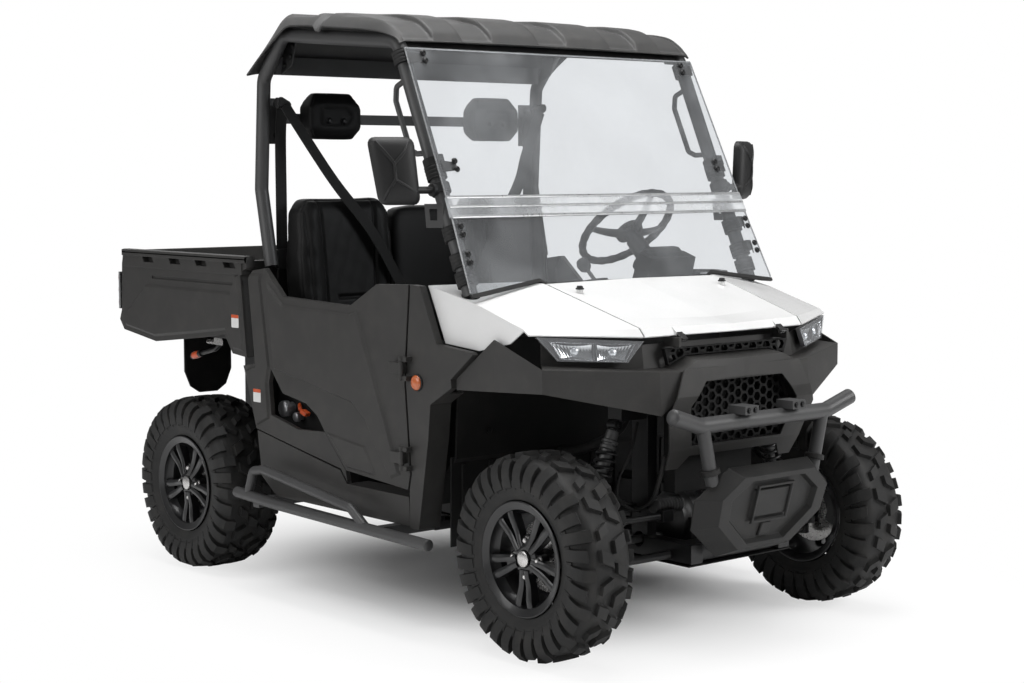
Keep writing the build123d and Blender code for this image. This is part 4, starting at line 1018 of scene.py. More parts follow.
    def nut_shape(self) -> Shape:
        """Domed wheel nuts in their seats."""
        nut = revolved(self.nut, ZERO, RIGHT, 6) + revolved(self.nut_seat, ZERO, RIGHT, 20)
        return self.studs(nut, self.lip - self.nut_back, 55.0, self.nut_turns())

    def disc(self) -> Shape:
        """Brake disc.

        Returns:
            A ring and its carrier, with three rows of small holes given as raised rims.
        """
        back = self.lip - self.disc_back
        row, turn = (index.ravel() for index in np.meshgrid(np.arange(3), np.arange(20), indexing="ij"))
        angle = (turn + row * 0.33) * TAU / 20
        holes = self.studs(revolved(self.hole, ZERO, RIGHT, 8), back + 5, 76.0 + 13.0 * row, angle)
        return self.turned(self.disc_ring, back, 72) + self.turned(self.carrier, back, 40) + holes

    def calliper(self) -> Shape:
        """Brake calliper round the disc's front edge.

        Returns:
            Its section, carried through 64 degrees.
        """
        out, radius = np.array(self.jaw, float).T
        turn = np.radians(np.linspace(48, 112, 8))[:, None]
        return tube(self.point(self.lip - self.disc_back + out, radius, turn))


@dataclass
class Wheels:
    """The four wheels, which ride on their own bodies, and their callipers, which don't turn."""

    # axle, its place, tyre width, tyre face, rim lip, centre rows' places across, half a row's width
    table: tuple = (
        ("front", 0.0, 200.0, 727.0, 720.0, (-0.135, 0.135), 0.105),
        ("rear", REAR_AXLE, 245.0, 752.0, 744.0, (-0.2, 0.0, 0.2), 0.078),
    )

    def build(self) -> None:
        """Make each wheel's pieces on the right, and mirror them to the left."""
        for axle, x, width, face, lip, rows, row_half in self.table:
            tyre = Tyre(x, width, face, lip, rows, row_half)
            rubber = tyre.carcass() + tyre.tread()
            rim = Rim(x, lip, 2 * (face - width / 2) - lip)
            for side, mirror in (("right", np.eye(3)), ("left", np.diag([1.0, -1.0, 1.0]))):
                place = f"{axle}_{side}"
                parts = ((rubber, "tread", "tyre", "tyre", f"tyre_{place}"),
                         (rim.alloy(), "rim", "alloy", "wheel_black", f"rim_{place}"),
                         (rim.cap(), "cap", "steel", "steel"), (rim.nut_shape(), "nuts", "steel", "steel"),
                         (rim.disc(), "disc", "steel", "steel"))
                for shape, name, *dress in parts:
                    add_piece(shape.turned(mirror), f"{name}_{place}", *dress, body=f"wheel_{place}")
                holder = f"knuckle_{side}" if axle == "front" else "chassis"
                calliper = rim.calliper().turned(mirror)
                add_piece(calliper, f"calliper_{place}", "cast", "cast_metal", body=holder)


# ---------------- stage
@dataclass
class Stage:
    """Pale floor, soft lamps and the camera."""

    camera_place: Point = (4244.0, -4426.0, 1483.0)
    yaw: float = 138.989
    pitch: float = -5.177
    lens: float = 67.664
    shift: tuple[float, float] = (-0.00342, -0.00117)
    backdrop: Point = (1.0, 1.0, 1.0)
    floor_half: float = 14.0
    # name, place in millimetres from the front axle, aim, width, height, power
    lamps: tuple = (
        ("overhead", (-700.0, -300.0, 5200.0), (-900.0, 0.0, 600.0), 4.0, 3.2, 278.0),
        ("front_left", (4200.0, 2600.0, 3200.0), (-300.0, 0.0, 800.0), 2.6, 2.6, 200.0),
        ("right_side", (-1500.0, -5200.0, 2600.0), (-900.0, 0.0, 700.0), 4.0, 2.0, 96.0),
        ("behind", (-5200.0, 1500.0, 3600.0), (-900.0, 0.0, 900.0), 4.0, 2.5, 40.0),
    )

    def aimed(self, name: str, data: bpy.types.ID, place: Array, way: Array) -> bpy.types.Object:
        """A lamp or camera in the scene.

        Args:
            name: the object's name.
            data: the lamp's or camera's own data.
            place: where it stands, in metres.
            way: where it looks.

        Returns:
            The object.
        """
        made = link(bpy.data.objects.new(name, data))
        made.location = Vector(place)
        made.rotation_euler = Vector(way).to_track_quat("-Z", "Y").to_euler()
        return made

    def camera(self) -> None:
        """Make the camera."""
        data = bpy.data.cameras.new("camera")
        data.lens, data.sensor_width, data.sensor_fit = self.lens, 36.0, "HORIZONTAL"
        data.shift_x, data.shift_y = self.shift
        data.clip_end = 200.0
        yaw, pitch = math.radians(self.yaw), math.radians(self.pitch)
        way = np.array([math.cos(pitch) * math.cos(yaw), math.cos(pitch) * math.sin(yaw), math.sin(pitch)])
        bpy.context.scene.camera = self.aimed("camera", data, at(*self.camera_place), way)

    def light(self) -> None:
        """Make the area lamps and the world: grey-white light, and a pale backdrop for the camera."""
        for name, place, target, width, height, power in self.lamps:
            data = bpy.data.lights.new(name, "AREA")
            data.shape, data.size, data.size_y, data.energy = "RECTANGLE", width, height, power
            self.aimed(name, data, at(*place), at(*target) - at(*place))
        world = bpy.context.scene.world = bpy.data.worlds.new("studio")
        tree = Tree(world)
        way = tree.node("ShaderNodeSeparateXYZ", {}, {0: tree.value("ShaderNodeTexCoord", out="Generated")})
        sky = tree.mix(Value(tree, way.outputs["Z"]).step(-0.15, 0.9), (0.50, 0.50, 0.50), (0.86, 0.86, 0.87))
        lit = tree.node("ShaderNodeBackground", {}, {"Color": sky, "Strength": 0.36})
        seen = tree.node("ShaderNodeBackground", {}, {"Color": self.backdrop, "Strength": 1.0})
        tree.surface(tree.blend(tree.value("ShaderNodeLightPath", out="Is Camera Ray"), lit, seen))

    def floor(self) -> None:
        """A wide floor that takes the shadow; for camera rays it fades into the backdrop's white emission
        with distance from an ellipse centred 0.12 m left, which paints light over the shadow round the
        vehicle and leaves a painted shadow pool under it.
        """
        corners = np.array([[[x, y, 0.0] for x in (-1, 1)] for y in (-1, 1)]) * self.floor_half
        made = grid(corners).build("studio_floor", False)
        material = bpy.data.materials.new("studio_floor")
        tree = Tree(material)
        inputs = {"Base Color": (0.93, 0.93, 0.93), "Roughness": 0.9, "Specular IOR Level": 0.1}
        ground = tree.node("ShaderNodeBsdfPrincipled", {"distribution": "MULTI_GGX"}, inputs)
        far = tree.node("ShaderNodeEmission", {}, {"Color": self.backdrop, "Strength": 1.0})
        inputs = {0: tree.place((0.75, 1.0, 1.0)), 1: (0.0, 0.12, 0.0)}
        middle = tree.value("ShaderNodeVectorMath", {"operation": "DISTANCE"}, inputs, "Value")
        # painted light: white emission takes 0.8 of the floor by the ellipse's rim and all of it further out,
        # lifting the real shadow to a pool under the vehicle
        share = middle.step(0.35, 1.1) * 0.8 + middle.step(1.0, 1.6) * 0.2
        tree.surface(tree.blend(share * tree.value("ShaderNodeLightPath", out="Is Camera Ray"), ground, far))
        made.data.materials.append(material)

    def build(self) -> None:
        """Make everything that isn't the vehicle."""
        bpy.context.scene.view_settings.view_transform = "Standard"
        self.camera()
        self.light()
        self.floor()


# ---------------- lines that several pieces follow
def on_screen(up: float, across: float, out: float = 0.0) -> Array:
    """A point given by its run up the screen, its distance from the middle and its height off the pane."""
    return at(SCREEN_FOOT[0], across, SCREEN_FOOT[1]) + (up * SCREEN_UP + out * SCREEN_OUT) / 1000


def on_post(up: float, side: float = -1) -> Array:
    """A point on the middle line of a windscreen post, a run up from its foot."""
    return at(POST_FOOT[0], side * CAGE_OUT, POST_FOOT[1]) + up * POST_UP / 1000


def run_between(foot: Table, head: Table) -> Array:
    """Direction from one (x, height) to another."""
    return unit([head[0] - foot[0], 0.0, head[1] - foot[1]])


SCREEN_UP = run_between(SCREEN_FOOT, SCREEN_HEAD)
SCREEN_OUT = np.cross(LEFT, SCREEN_UP)
POST_UP = run_between(POST_FOOT, POST_BEND)


# ---------------- seats
def groove(distance: Array, width: float) -> Array:
    """Depth share of a seam at a distance from its line: exp(-(d / w)^2)."""
    return np.exp(-((distance / width) ** 2))


def bolster(distance: Array, width: float = 0.010) -> Array:
    """Rise of a soft step: 1 / (1 + exp(-d / w))."""
    return 1 / (1 + np.exp(-distance / width))


def back_detail(points: Array, normals: Array) -> Array:
    """Side bolsters, a sunk centre panel between bowed seams, a cross seam, wrinkles and an edge seam.

    Args:
        points: the pad's points in metres.
        normals: their normals.

    Returns:
        The points moved forward by front (0.012 b - 0.004 - 0.009 s), and in at the edge seam.
    """
    across, z = np.abs(points[:, 1]) - SEAT_OUT / 1000, points[:, 2]
    front = np.clip(normals[:, 0], 0, 1)
    share = np.clip((z - 0.80) / 0.58, 0, 1)
    edge = 0.088 + 0.032 * share + 0.02 * (1 - share) ** 2
    distance = np.abs(across) - edge
    seam = groove(distance, 0.0050) + groove(distance - 0.062, 0.0045) * 0.7
    seam += groove(z - 1.02, 0.0060) * (np.abs(across + 0.01) < edge * 0.62)
    wrinkle = np.sin(z * 61 + across * 37) * np.sin(across * 83 - z * 19) * 0.0005
    push = front * (bolster(distance - 0.018) * 0.012 - 0.004 - seam * 0.009 + wrinkle)
    rim = groove(normals[:, 0] - 0.42, 0.16) * (normals[:, 0] > 0)
    return points + FORWARD * push[:, None] - normals * (rim * 0.0035)[:, None]


def base_detail(points: Array, normals: Array) -> Array:
    """A sunk centre panel, two seams that run forward and one across, wrinkles and an edge seam.

    Args:
        points: the pad's points in metres.
        normals: their normals.

    Returns:
        The points moved up by top (0.010 b - 0.003 - 0.007 s), and in at the edge seam.
    """
    across, x = np.abs(points[:, 1]) - SEAT_OUT / 1000, points[:, 0] - FRONT_AXLE_X / 1000
    top = np.clip(normals[:, 2], 0, 1)
    distance = np.abs(across) - 0.108
    seam = groove(distance, 0.0050) + groove(x + 0.93, 0.0055) * (distance < 0)
    wrinkle = np.sin(x * 57 + across * 31) * np.sin(across * 71 - x * 23) * 0.0010
    push = top * (bolster(distance - 0.016) * 0.010 - 0.003 - seam * 0.007 + wrinkle)
    rim = groove(normals[:, 2] - 0.42, 0.16) * (normals[:, 2] > 0)
    return points + UP * push[:, None] - normals * (rim * 0.0035)[:, None]


def head_detail(points: Array, normals: Array) -> Array:
    """A seam round the edge of the face."""
    return points - normals * (groove(normals[:, 0] - 0.5, 0.14) * (normals[:, 0] > 0) * 0.003)[:, None]


@dataclass
class Pad:
    """A pair of cushions: the solids' own shape, blown up as cloth, then pulled in along its seams."""

    node: str
    name: str
    finish: str
    fill: float
    # in metres: spacing of the mesh, how far the blank is drawn in, how far it may swell
    voxel: float
    start: float
    cap: float
    soften: int
    carve: Callable
    pressure: float = 4.0
    frames: int = 20

    def blank(self, solid: bpy.types.Object) -> bpy.types.Object:
        """A closed, evenly meshed copy of the solid, drawn in a little so that it can swell.

        Args:
            solid: the CAD node's object.

        Returns:
            The new object.
        """
        shell = bmesh.new()
        shell.from_mesh(solid.data)
        bmesh.ops.remove_doubles(shell, verts=shell.verts, dist=1e-5)
        mesh = bpy.data.meshes.new(self.name)
        shell.to_mesh(mesh)
        shell.free()
        made = link(bpy.data.objects.new(self.name, mesh))
        remesh = made.modifiers.new("even", "REMESH")
        remesh.mode, remesh.voxel_size = "VOXEL", self.voxel
        self.settle(made)
        self.write(made, self.read(made, "co") - self.read(made, "normal") * self.start)
        return made

    def settle(self, made: bpy.types.Object) -> None:
        """Make the modifiers' result the piece's own mesh.

        Args:
            made: the piece.
        """
        shown = made.evaluated_get(bpy.context.evaluated_depsgraph_get())
        mesh = bpy.data.meshes.new_from_object(shown)
        made.modifiers.clear()
        made.data = mesh
        mesh.name = self.name

    def read(self, made: bpy.types.Object, kind: str) -> Array:
        """The mesh's points or their normals.

        Args:
            made: the piece, or its evaluated copy.
            kind: "co" or "normal".

        Returns:
            An array of (n, 3).
        """
        values = np.empty(len(made.data.vertices) * 3)
        made.data.vertices.foreach_get(kind, values)
        return values.reshape(-1, 3)

    def write(self, made: bpy.types.Object, points: Array) -> None:
        """Put the points back."""
        made.data.vertices.foreach_set("co", points.ravel())
        made.data.update()

    def swell(self, made: bpy.types.Object) -> None:
        """Blow the piece up by air pressure, and cap how far each point moves.

        Args:
            made: the piece.
        """
        before = self.read(made, "co")
        cloth = made.modifiers.new("air", "CLOTH")
        cloth.settings.use_pressure = True
        cloth.settings.uniform_pressure_force = self.pressure
        cloth.settings.effector_weights.gravity = 0.0
        cloth.settings.quality = 4
        for frame in range(1, self.frames + 1):
            bpy.context.scene.frame_set(frame)
        move = self.read(made.evaluated_get(bpy.context.evaluated_depsgraph_get()), "co") - before
        made.modifiers.clear()
        bpy.context.scene.frame_set(1)
        length = np.linalg.norm(move, axis=1, keepdims=True)
        self.write(made, before + move * np.minimum(1.0, self.cap / np.maximum(length, 1e-9)))

    def build(self, frame: dict) -> None:
        """Make the pads.
        """
        made = self.blank(frame["nodes"][self.node])
        self.swell(made)
        soft = made.modifiers.new("soft", "SMOOTH")
        soft.factor, soft.iterations = 0.5, self.soften
        finer = made.modifiers.new("finer", "SUBSURF")
        finer.levels = finer.render_levels = 1
        self.settle(made)
        self.write(made, self.carve(self.read(made, "co"), self.read(made, "normal")))
        made.data.shade_smooth()
        made.data.materials.clear()
        made.data.materials.append(material_of(self.finish))
        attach(made, "chassis")
        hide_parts(self.node)
        LOG.info("%s: %d points", self.name, len(made.data.vertices))


@dataclass
class Seats:
    """The two bucket seats, the narrow back between them, their head rests' bolts and the belts."""

    pads: tuple = (
        Pad("seat_backs", "back_pads", "vinyl", 0.8, 0.009, 0.006, 0.022, 26, back_detail),
        Pad("seat_cushions", "base_pads", "vinyl", 0.8, 0.009, 0.006, 0.018, 14, base_detail),
        Pad("headrests", "head_pads", "foam", 0.9, 0.006, 0.0, 0.001, 7, head_detail),
    )
    ring: Point = (-1391.0, -600.0, 1702.0)
    strap: float = 46.0
    chest_run: tuple = ((-1387, -596, 1694), (-1348, -490, 1520), (-1316, -424, 1412), (-1284, -290, 1240),
                        (-1270, -165, 1030), (-1272, -138, 960))
    reel_run: tuple = ((-1425, -579, 1696), (-1440, -579, 1600), (-1440, -579, 1380), (-1438, -579, 1170))
    buckle_y: float = -140.0
    # share of the middle pad's height, share of its size
    middle_swell: tuple = ((0, 0.5), (0.01, 0.8), (0.04, 0.93), (0.12, 1), (0.3, 1), (0.6, 1), (0.8, 0.98),
                           (0.92, 0.92), (0.97, 0.8), (0.99, 0.62), (1, 0.3))

    def webbing(self, points: tuple, facing: list) -> Shape:
        """A flat strap along a smooth curve, its width square to the run and to where it faces."""
        return swept(smooth_path(at(*np.array(points, float).T), 60), box(self.strap, 1.8), facing)

    def belts(self) -> None:
        """Shoulder straps, the runs down to the reels, rings, buckles and reels."""
        x, y, z = self.ring
        straps = self.webbing(self.chest_run, [1.0, 0.1, 0.25]) + self.webbing(self.reel_run, FORWARD)
        add_piece(straps.both_sides(), "belt_webbing", "webbing", "webbing", "seat_belts")
        side, lean = [0.1, 1.0, 0.0], [-0.2, 0.1, 1.0]
        fittings = rod(at(x - 20, -613, z), at(x - 20, y + 2, z), 19, 24)
        fittings += slab(rounded(58, 70, 10), at(-1436, -584, 1156), RIGHT, UP, 20, 3)
        fittings += slab(rounded(34, 66, 9), at(-1256, self.buckle_y, 926), side, lean, 22, 4)
        fittings += slab(rounded(22, 110, 4), at(-1264, self.buckle_y, 852), side, [-0.1, 0.05, 1.0], 6, 1)
        add_piece(fittings.both_sides(), "belt_fittings", "grip", "grip")
        ring = slab(rounded(70, 34, 14), at(x + 2, y + 6, z - 4), [-0.2, 0.75, -0.3], [0.1, 0.3, 0.9], 5, 1.2)
        add_piece(ring.both_sides(), "belt_rings", "frame", "steel")
        latch = slab(rounded(18, 14, 3), at(-1252, self.buckle_y, 950), side, lean, 6, 1)
        add_piece(latch.both_sides(), "buckle_buttons", "red", "red_lamp")

    def head_bolts(self) -> Shape:
        """Two bolts in each head rest's sunk face."""
        places = [at(-1387, side * SEAT_OUT + across, 1642) for side in (-1, 1) for across in (-30, 34)]
        return bolts(places, FORWARD, 9, 6)

    def middle_back(self) -> Shape:
        """A narrow pad between the two backs.

        Returns:
            Slices (46 s |cos u|^0.4, 152 s |sin u|^0.4), whose size s follows a rounded side view.
        """
        turn = np.arange(48) * TAU / 48
        along, across = (np.sign(wave) * np.abs(wave) ** 0.4 for wave in (np.cos(turn), np.sin(turn)))
        share = np.linspace(0, 1, 60)[:, None]
        size = np.interp(share, *np.array(self.middle_swell).T)
        return tube(at(-1352 - 48 * share + 46 * size * along, 152 * size * across, 886 + 452 * share))

    def build(self, frame: dict) -> None:
        """Make everything.
        """
        for pad in self.pads:
            pad.build(frame)
        add_piece(self.middle_back(), "middle_pad", "vinyl", "seat")
        self.belts()
        add_piece(self.head_bolts(), "head_bolts", "bolt", "steel")


# ---------------- nose
@dataclass
class Nose:
    """Head lamps' insides and lenses, and what shows in and under the grilles."""

    corner: Point = (-2.0, -656.0, 980.0)
    along: Point = (0.448, 0.894, 0.0)
    facing: Point = (0.894, -0.448, 0.095)
    outline: tuple = ((2, -3), (67, -76), (285, -86), (337, -22))
    cells: tuple = (((80, -68), (178, -76), (176, -27), (48, -20)),
                    ((190, -77), (276, -80), (304, -31), (188, -28)))
    # share of a ring's size, height off the lamp's face
    bezel_rings: tuple = ((1.10, 0.1), (1.09, 1.6), (1.02, 1.6), (0.99, -6.0))
    lens_rings: tuple = ((1.0, 0.4), (0.995, 3.4), (0.97, 4.6), (0.0, 5.4))
    # distance along the axis, radius
    dome: tuple = ((0, 12.5), (4, 12.5), (6.5, 10), (8.5, 6), (9.2, 0.4))
    knob: tuple = ((0, 13.5), (4, 13.5), (4.6, 10.5), (10, 9.5), (11.5, 8), (12, 0.5))
    collar: tuple = ((-12, 27), (-10, 31), (4, 31), (6, 27), (6, 22))
    # half width, half height, height off the cover
    cover_rings: tuple = ((82, 64, 0), (80, 62, 7), (74, 56, 7), (71, 53, 2))
    # x, half width and height of the duct's corners, from its mouth inwards
    duct: tuple = (((234, 176, 836), (233, 247, 754), (199, 206, 627)),
                   ((190, 200, 846), (190, 251, 754), (190, 216, 624)),
                   ((108, 176, 850), (108, 177, 754), (108, 176, 600)))
    # radius, places it runs through
    hose_runs: tuple = (
        (16, ((60, -150, 800), (-40, -190, 760), (-150, -170, 640), (-330, -150, 560), (-450, -150, 540))),
        (16, ((60, 130, 520), (-60, 170, 470), (-220, 160, 440), (-450, 150, 430))),
        (4.5, ((20, -250, 690), (40, -300, 600), (20, -330, 520), (-10, -300, 450), (-20, -215, 420))),
        (4.5, ((-20, -260, 700), (-70, -320, 610), (-60, -345, 520), (-20, -290, 440), (0, -215, 400))),
        (7, ((150, -262, 600), (120, -255, 520), (60, -240, 440), (-80, -236, 400), (-440, -240, 380))),
    )

    def place(self, u: Array, v: Array, w: float | Array) -> Array:
        """Points in metres from millimetres.

        Args:
            u: along the lamp.
            v: up it.
            w: out of its face.

        Returns:
            The points.
        """
        first, out = unit(self.along), unit(self.facing)
        u, v, w = (np.asarray(size, float)[..., None] for size in (u, v, w))
        return at(*self.corner) + (u * first + v * np.cross(out, first) + w * out) / 1000

    def bowl(self, cell: tuple) -> Shape:
        """A fluted reflector over a four-cornered cell.

        Args:
            cell: its corners along and up the lamp.

        Returns:
            The surface w = -9.6 + 6 |2s - 1|^2 + 3 |2t - 1|^2 + 0.35 cos(2 pi 12 s) over the corners' blend.
        """
        a, b, c, d = np.array(cell, float)
        s, t = np.meshgrid(np.linspace(0.02, 0.98, 49), np.linspace(0.03, 0.97, 21), indexing="ij")
        depth = -9.6 + 6.0 * (2 * s - 1) ** 2 + 3.0 * (2 * t - 1) ** 2 + 0.35 * np.cos(s * TAU * 12)
        s, t = s[..., None], t[..., None]
        flat = (1 - s) * (1 - t) * a + s * (1 - t) * b + s * t * c + (1 - s) * t * d
        return grid(self.place(flat[..., 0], flat[..., 1], depth)[:, ::-1])

    def ringed(self, outline: tuple, rings: tuple) -> Shape:
        """A band over an outline.

        Args:
            outline: points along and up the lamp.
            rings: (share of the outline's size about its middle, height off the face).

        Returns:
            The outline at each share and height, joined.
        """
        outline = np.array(outline, float)
        middle = outline.mean(0)
        places = [self.place(*(middle + (outline - middle) * grow).T, out) for grow, out in rings]
        return grid(np.stack(places), loop_columns=True)

    def bulb(self, cell: tuple) -> Shape:
        """A lens dome in the middle of a cell."""
        return revolved(self.dome, self.place(*np.mean(cell, axis=0), -9.4), self.facing, 24)

    def knobs(self) -> Shape:
        """The hood's two quarter-turn knobs."""
        return revolved(self.knob, at(-165, -325, 1098), UP, 20).both_sides()

    def cover(self) -> Shape:
        """Raised frame and rib in the winch cover's recess, and collars where the bar's uprights go in.

        Returns:
            The frame, the rib and the collars.
        """
        out, up = unit([1.0, 0.0, -0.28]), unit([0.28, 0.0, 1.0])
        base = at(358, 0, 440) - out * 0.010
        rings = [base + (box(2 * wide, 2 * tall) @ np.stack([RIGHT, up]) + 15 * up + rise * out) / 1000
                 for wide, tall, rise in self.cover_rings]
        total = grid(np.stack(rings), loop_columns=True)
        total += slab([(-26, -46), (26, -46), (20, 0), (-20, 0)], base - up * 0.052, LEFT, up, 10, 4)
        for side in (-1, 1):
            way = at(318, side * 274, 712) - at(318, side * 229, 528)
            total += revolved(self.collar, at(318, side * 240, 573), way, 24)
        return total

    def insides(self) -> Shape:
        """What shows between the wheels and behind the grilles.

        Returns:
            A ribbed lower bulkhead, a skid plate, the grille's duct and its top screen.
        """
        total = slab(box(1220, 288), at(-455, 0, 416), LEFT, UP, 6, 2)
        for y in range(-560, 561, 112):
            total += slab(rounded(16, 250, 6), at(-448, y, 415), LEFT, UP, 8, 3)
        total += slab([(-1385, -232), (228, -232), (228, 232), (-1385, 232)], at(0, 0, 266), FORWARD, LEFT, 4)
        rings = [[at(x, y, z) for x, y, z in ring] + [at(x, -y, z) for x, y, z in ring[::-1]]
                 for ring in self.duct]
        total += grid(np.array(rings), loop_columns=True)
        return total + slab([(-290, 868), (290, 868), (286, 946), (-286, 946)], at(118, 0, 0), LEFT, UP, 3)

    def gearcase(self) -> Shape:
        """Front differential, and the steering rack's bellows.

        Returns:
            The case r = 96 sqrt(1 - |u|^3), ribbed, and the bellows r = 22 - 5 u + 5 cos(2 pi 9 u).
        """
        along, run = np.linspace(-1, 1, 41), np.linspace(0, 1, 61)
        ribs = 1 + 0.05 * (np.arange(41) % 6 == 0)
        radius = 96 * np.sqrt(np.clip(1 - np.abs(along) ** 3, 0.02, 1)) * ribs
        case = revolved(np.column_stack([along * 135, radius]), at(-6, 0, 362), LEFT, 40)
        bellows = np.column_stack([run * 110, 22 + 5 * np.cos(run * TAU * 9) - 5 * run])
        return case + revolved(bellows, at(70, -120, 430), RIGHT, 24).both_sides()

    def hoses(self) -> Shape:
        """Radiator hoses, brake lines and a wiring loom, as smooth curves."""
        return sum((swept(smooth_path(at(*np.array(points, float).T), 48), circle(radius), [0.3, 0.2, 1.0])
                    for radius, points in self.hose_runs), Shape())

    def screws(self) -> Shape:
        """Fixings.

        Returns:
            Bolts on the bar's brackets and in the wheel arches.
        """
        front = [at(366, side * across, 749) for side in (-1, 1) for across in (94, 122)]
        spots = ((470, 868), (575, 868), (470, 640))
        liner = [at(-432, side * out, z) for side in (-1, 1) for out, z in spots]
        return bolts(front, FORWARD, 6) + bolts(liner, FORWARD, 8)

    def build(self) -> None:
        """Make everything."""
        bowls = sum((self.bowl(cell) for cell in self.cells), Shape())
        bezels = sum((self.ringed(cell, self.bezel_rings) for cell in self.cells), Shape())
        bulbs = sum((self.bulb(cell) for cell in self.cells), Shape())
        lens = self.ringed(self.outline, self.lens_rings)
        add_piece(bowls.both_sides(), "lamp_reflectors", "silver", "lamp")
        add_piece(bezels.both_sides(), "lamp_bezels", "silver", "lamp", smooth=False)
        add_piece(bulbs.both_sides(), "lamp_domes", "lens_white", "lamp")
        add_piece(lens.both_sides(), "lamp_lenses", "lens", "lamp", smooth=False)
        add_piece(self.knobs(), "hood_knobs", "grip", "grip", body="hood")
        add_piece(self.screws(), "nose_bolts", "bolt", "steel")
        add_piece(self.insides(), "nose_insides", "dark_panel", "moulded_black", smooth=False)
        add_piece(self.gearcase(), "front_gearcase", "cast", "cast_metal")
        add_piece(self.hoses(), "nose_hoses", "rubber", "rubber")
        add_piece(self.cover(), "cover_frame", "cover", "moulded_black", smooth=False)


# ---------------- windscreen and cage
@dataclass
class ScreenFittings:
    """Clamps, bolts and silver edge strips of the two-piece windscreen, the strips a painted highlight;
    places are runs up the screen.
    """

    bands_up: tuple = (58.0, 118.0, 210.0, 418.0, 818.0)
    # run up the screen, distance from the middle
    pairs: tuple = ((815.0, 587.0), (434.0, 594.0), (212.0, 649.0), (118.0, 654.0))
    bolt_apart: float = 28.0
    head: tuple = ((0, 10.5), (3, 10.5), (6, 8.5), (7.8, 5), (8, 4.2), (6, 4), (6, 0.4))
    # run up the screen, height off it, thickness
    lip_runs: tuple = ((258, 6, 5), (292, 8, 4), (325, 6, 5))
    # the run and distance from the middle at both ends of each pane's side
    pane_sides: tuple = (((324, 666), (848, 650)), ((4, 685), (256, 668)))
    pane_top: tuple = (848, 650)

    def bands(self) -> Shape:
        """Ribbed rubber bands round the posts.

        Returns:
            Turnings with r = 31.2 + 1.5 sqrt |cos| along their width, drawn in at their ends.
        """
        along = np.linspace(-24, 24, 33)
        radius = 31.2 + 1.5 * np.abs(np.cos(along / 48 * math.pi * 4)) ** 0.5
        radius[[0, -1]] = 25.0
        band = revolved(np.column_stack([along, radius]), ZERO, POST_UP, 28)
        return band.copies([on_post(up) for up in self.bands_up]).both_sides()

    def arms(self) -> Shape:
        """Flat arms behind the panes, from each band to its pair of bolts.

        Returns:
            The arms, which widen away from the middle.
        """
        total = Shape()
        for up, across in self.pairs:
            wide = CAGE_OUT - across + 16
            outline = [(-wide / 2, -13), (wide / 2, -20), (wide / 2, 20), (-wide / 2, 13)]
            total += slab(outline, on_screen(up, 10 - across - wide / 2, -2.0), RIGHT, SCREEN_UP, 4, 1)
        return total.both_sides()

    def heads(self) -> Shape:
        """Round bolt heads, two to a plate.

        Returns:
            The heads on both sides.
        """
        places = [on_screen(up + shift, side * across, 8.6) for up, across in self.pairs
                  for shift in (-self.bolt_apart / 2, self.bolt_apart / 2) for side in (-1, 1)]
        matrix = np.stack([LEFT, np.cross(SCREEN_OUT, LEFT), SCREEN_OUT], -1)
        return revolved(self.head, ZERO, UP, 18).copies(places, matrix)

    def lips(self) -> Shape:
        """Silver rolled edges above and below the joint of the two panes: painted highlight for the glint on
        the clear joint.

        Returns:
            Three bars across the screen.
        """
        total = Shape()
        for up, out, size in self.lip_runs:
            path = [on_screen(up, across, out) for across in np.linspace(-668, 668, 9)]
            total += swept(path, rounded(size * 2, size, size * 0.3), SCREEN_OUT)
        return total

    def edges(self) -> Shape:
        """Silver strips on both panes' cut edges: painted highlight for the glint on the clear edges.

        Returns:
            Bars along their sides and along the top.
        """
        total, section = Shape(), rounded(5.5, 2.6, 0.8)
        for corners in self.pane_sides:
            total += swept([on_screen(up, -across, 3.0) for up, across in corners], section, SCREEN_OUT)
        up, half = self.pane_top
        top = [on_screen(up, across, 3.0) for across in (-half, 0, half)]
        return total.both_sides() + swept(top, section, SCREEN_OUT)

    def build(self) -> None:
        """Make everything."""
        add_piece(self.edges(), "pane_edges", "edge_glint", "screen")
        add_piece(self.bands(), "post_bands", "rubber", "rubber")
        add_piece(self.arms(), "screen_arms", "grip", "grip", smooth=False)
        add_piece(self.heads(), "screen_bolts", "bolt", "steel")
        add_piece(self.lips(), "joint_lips", "edge_glint", "clear_rail")


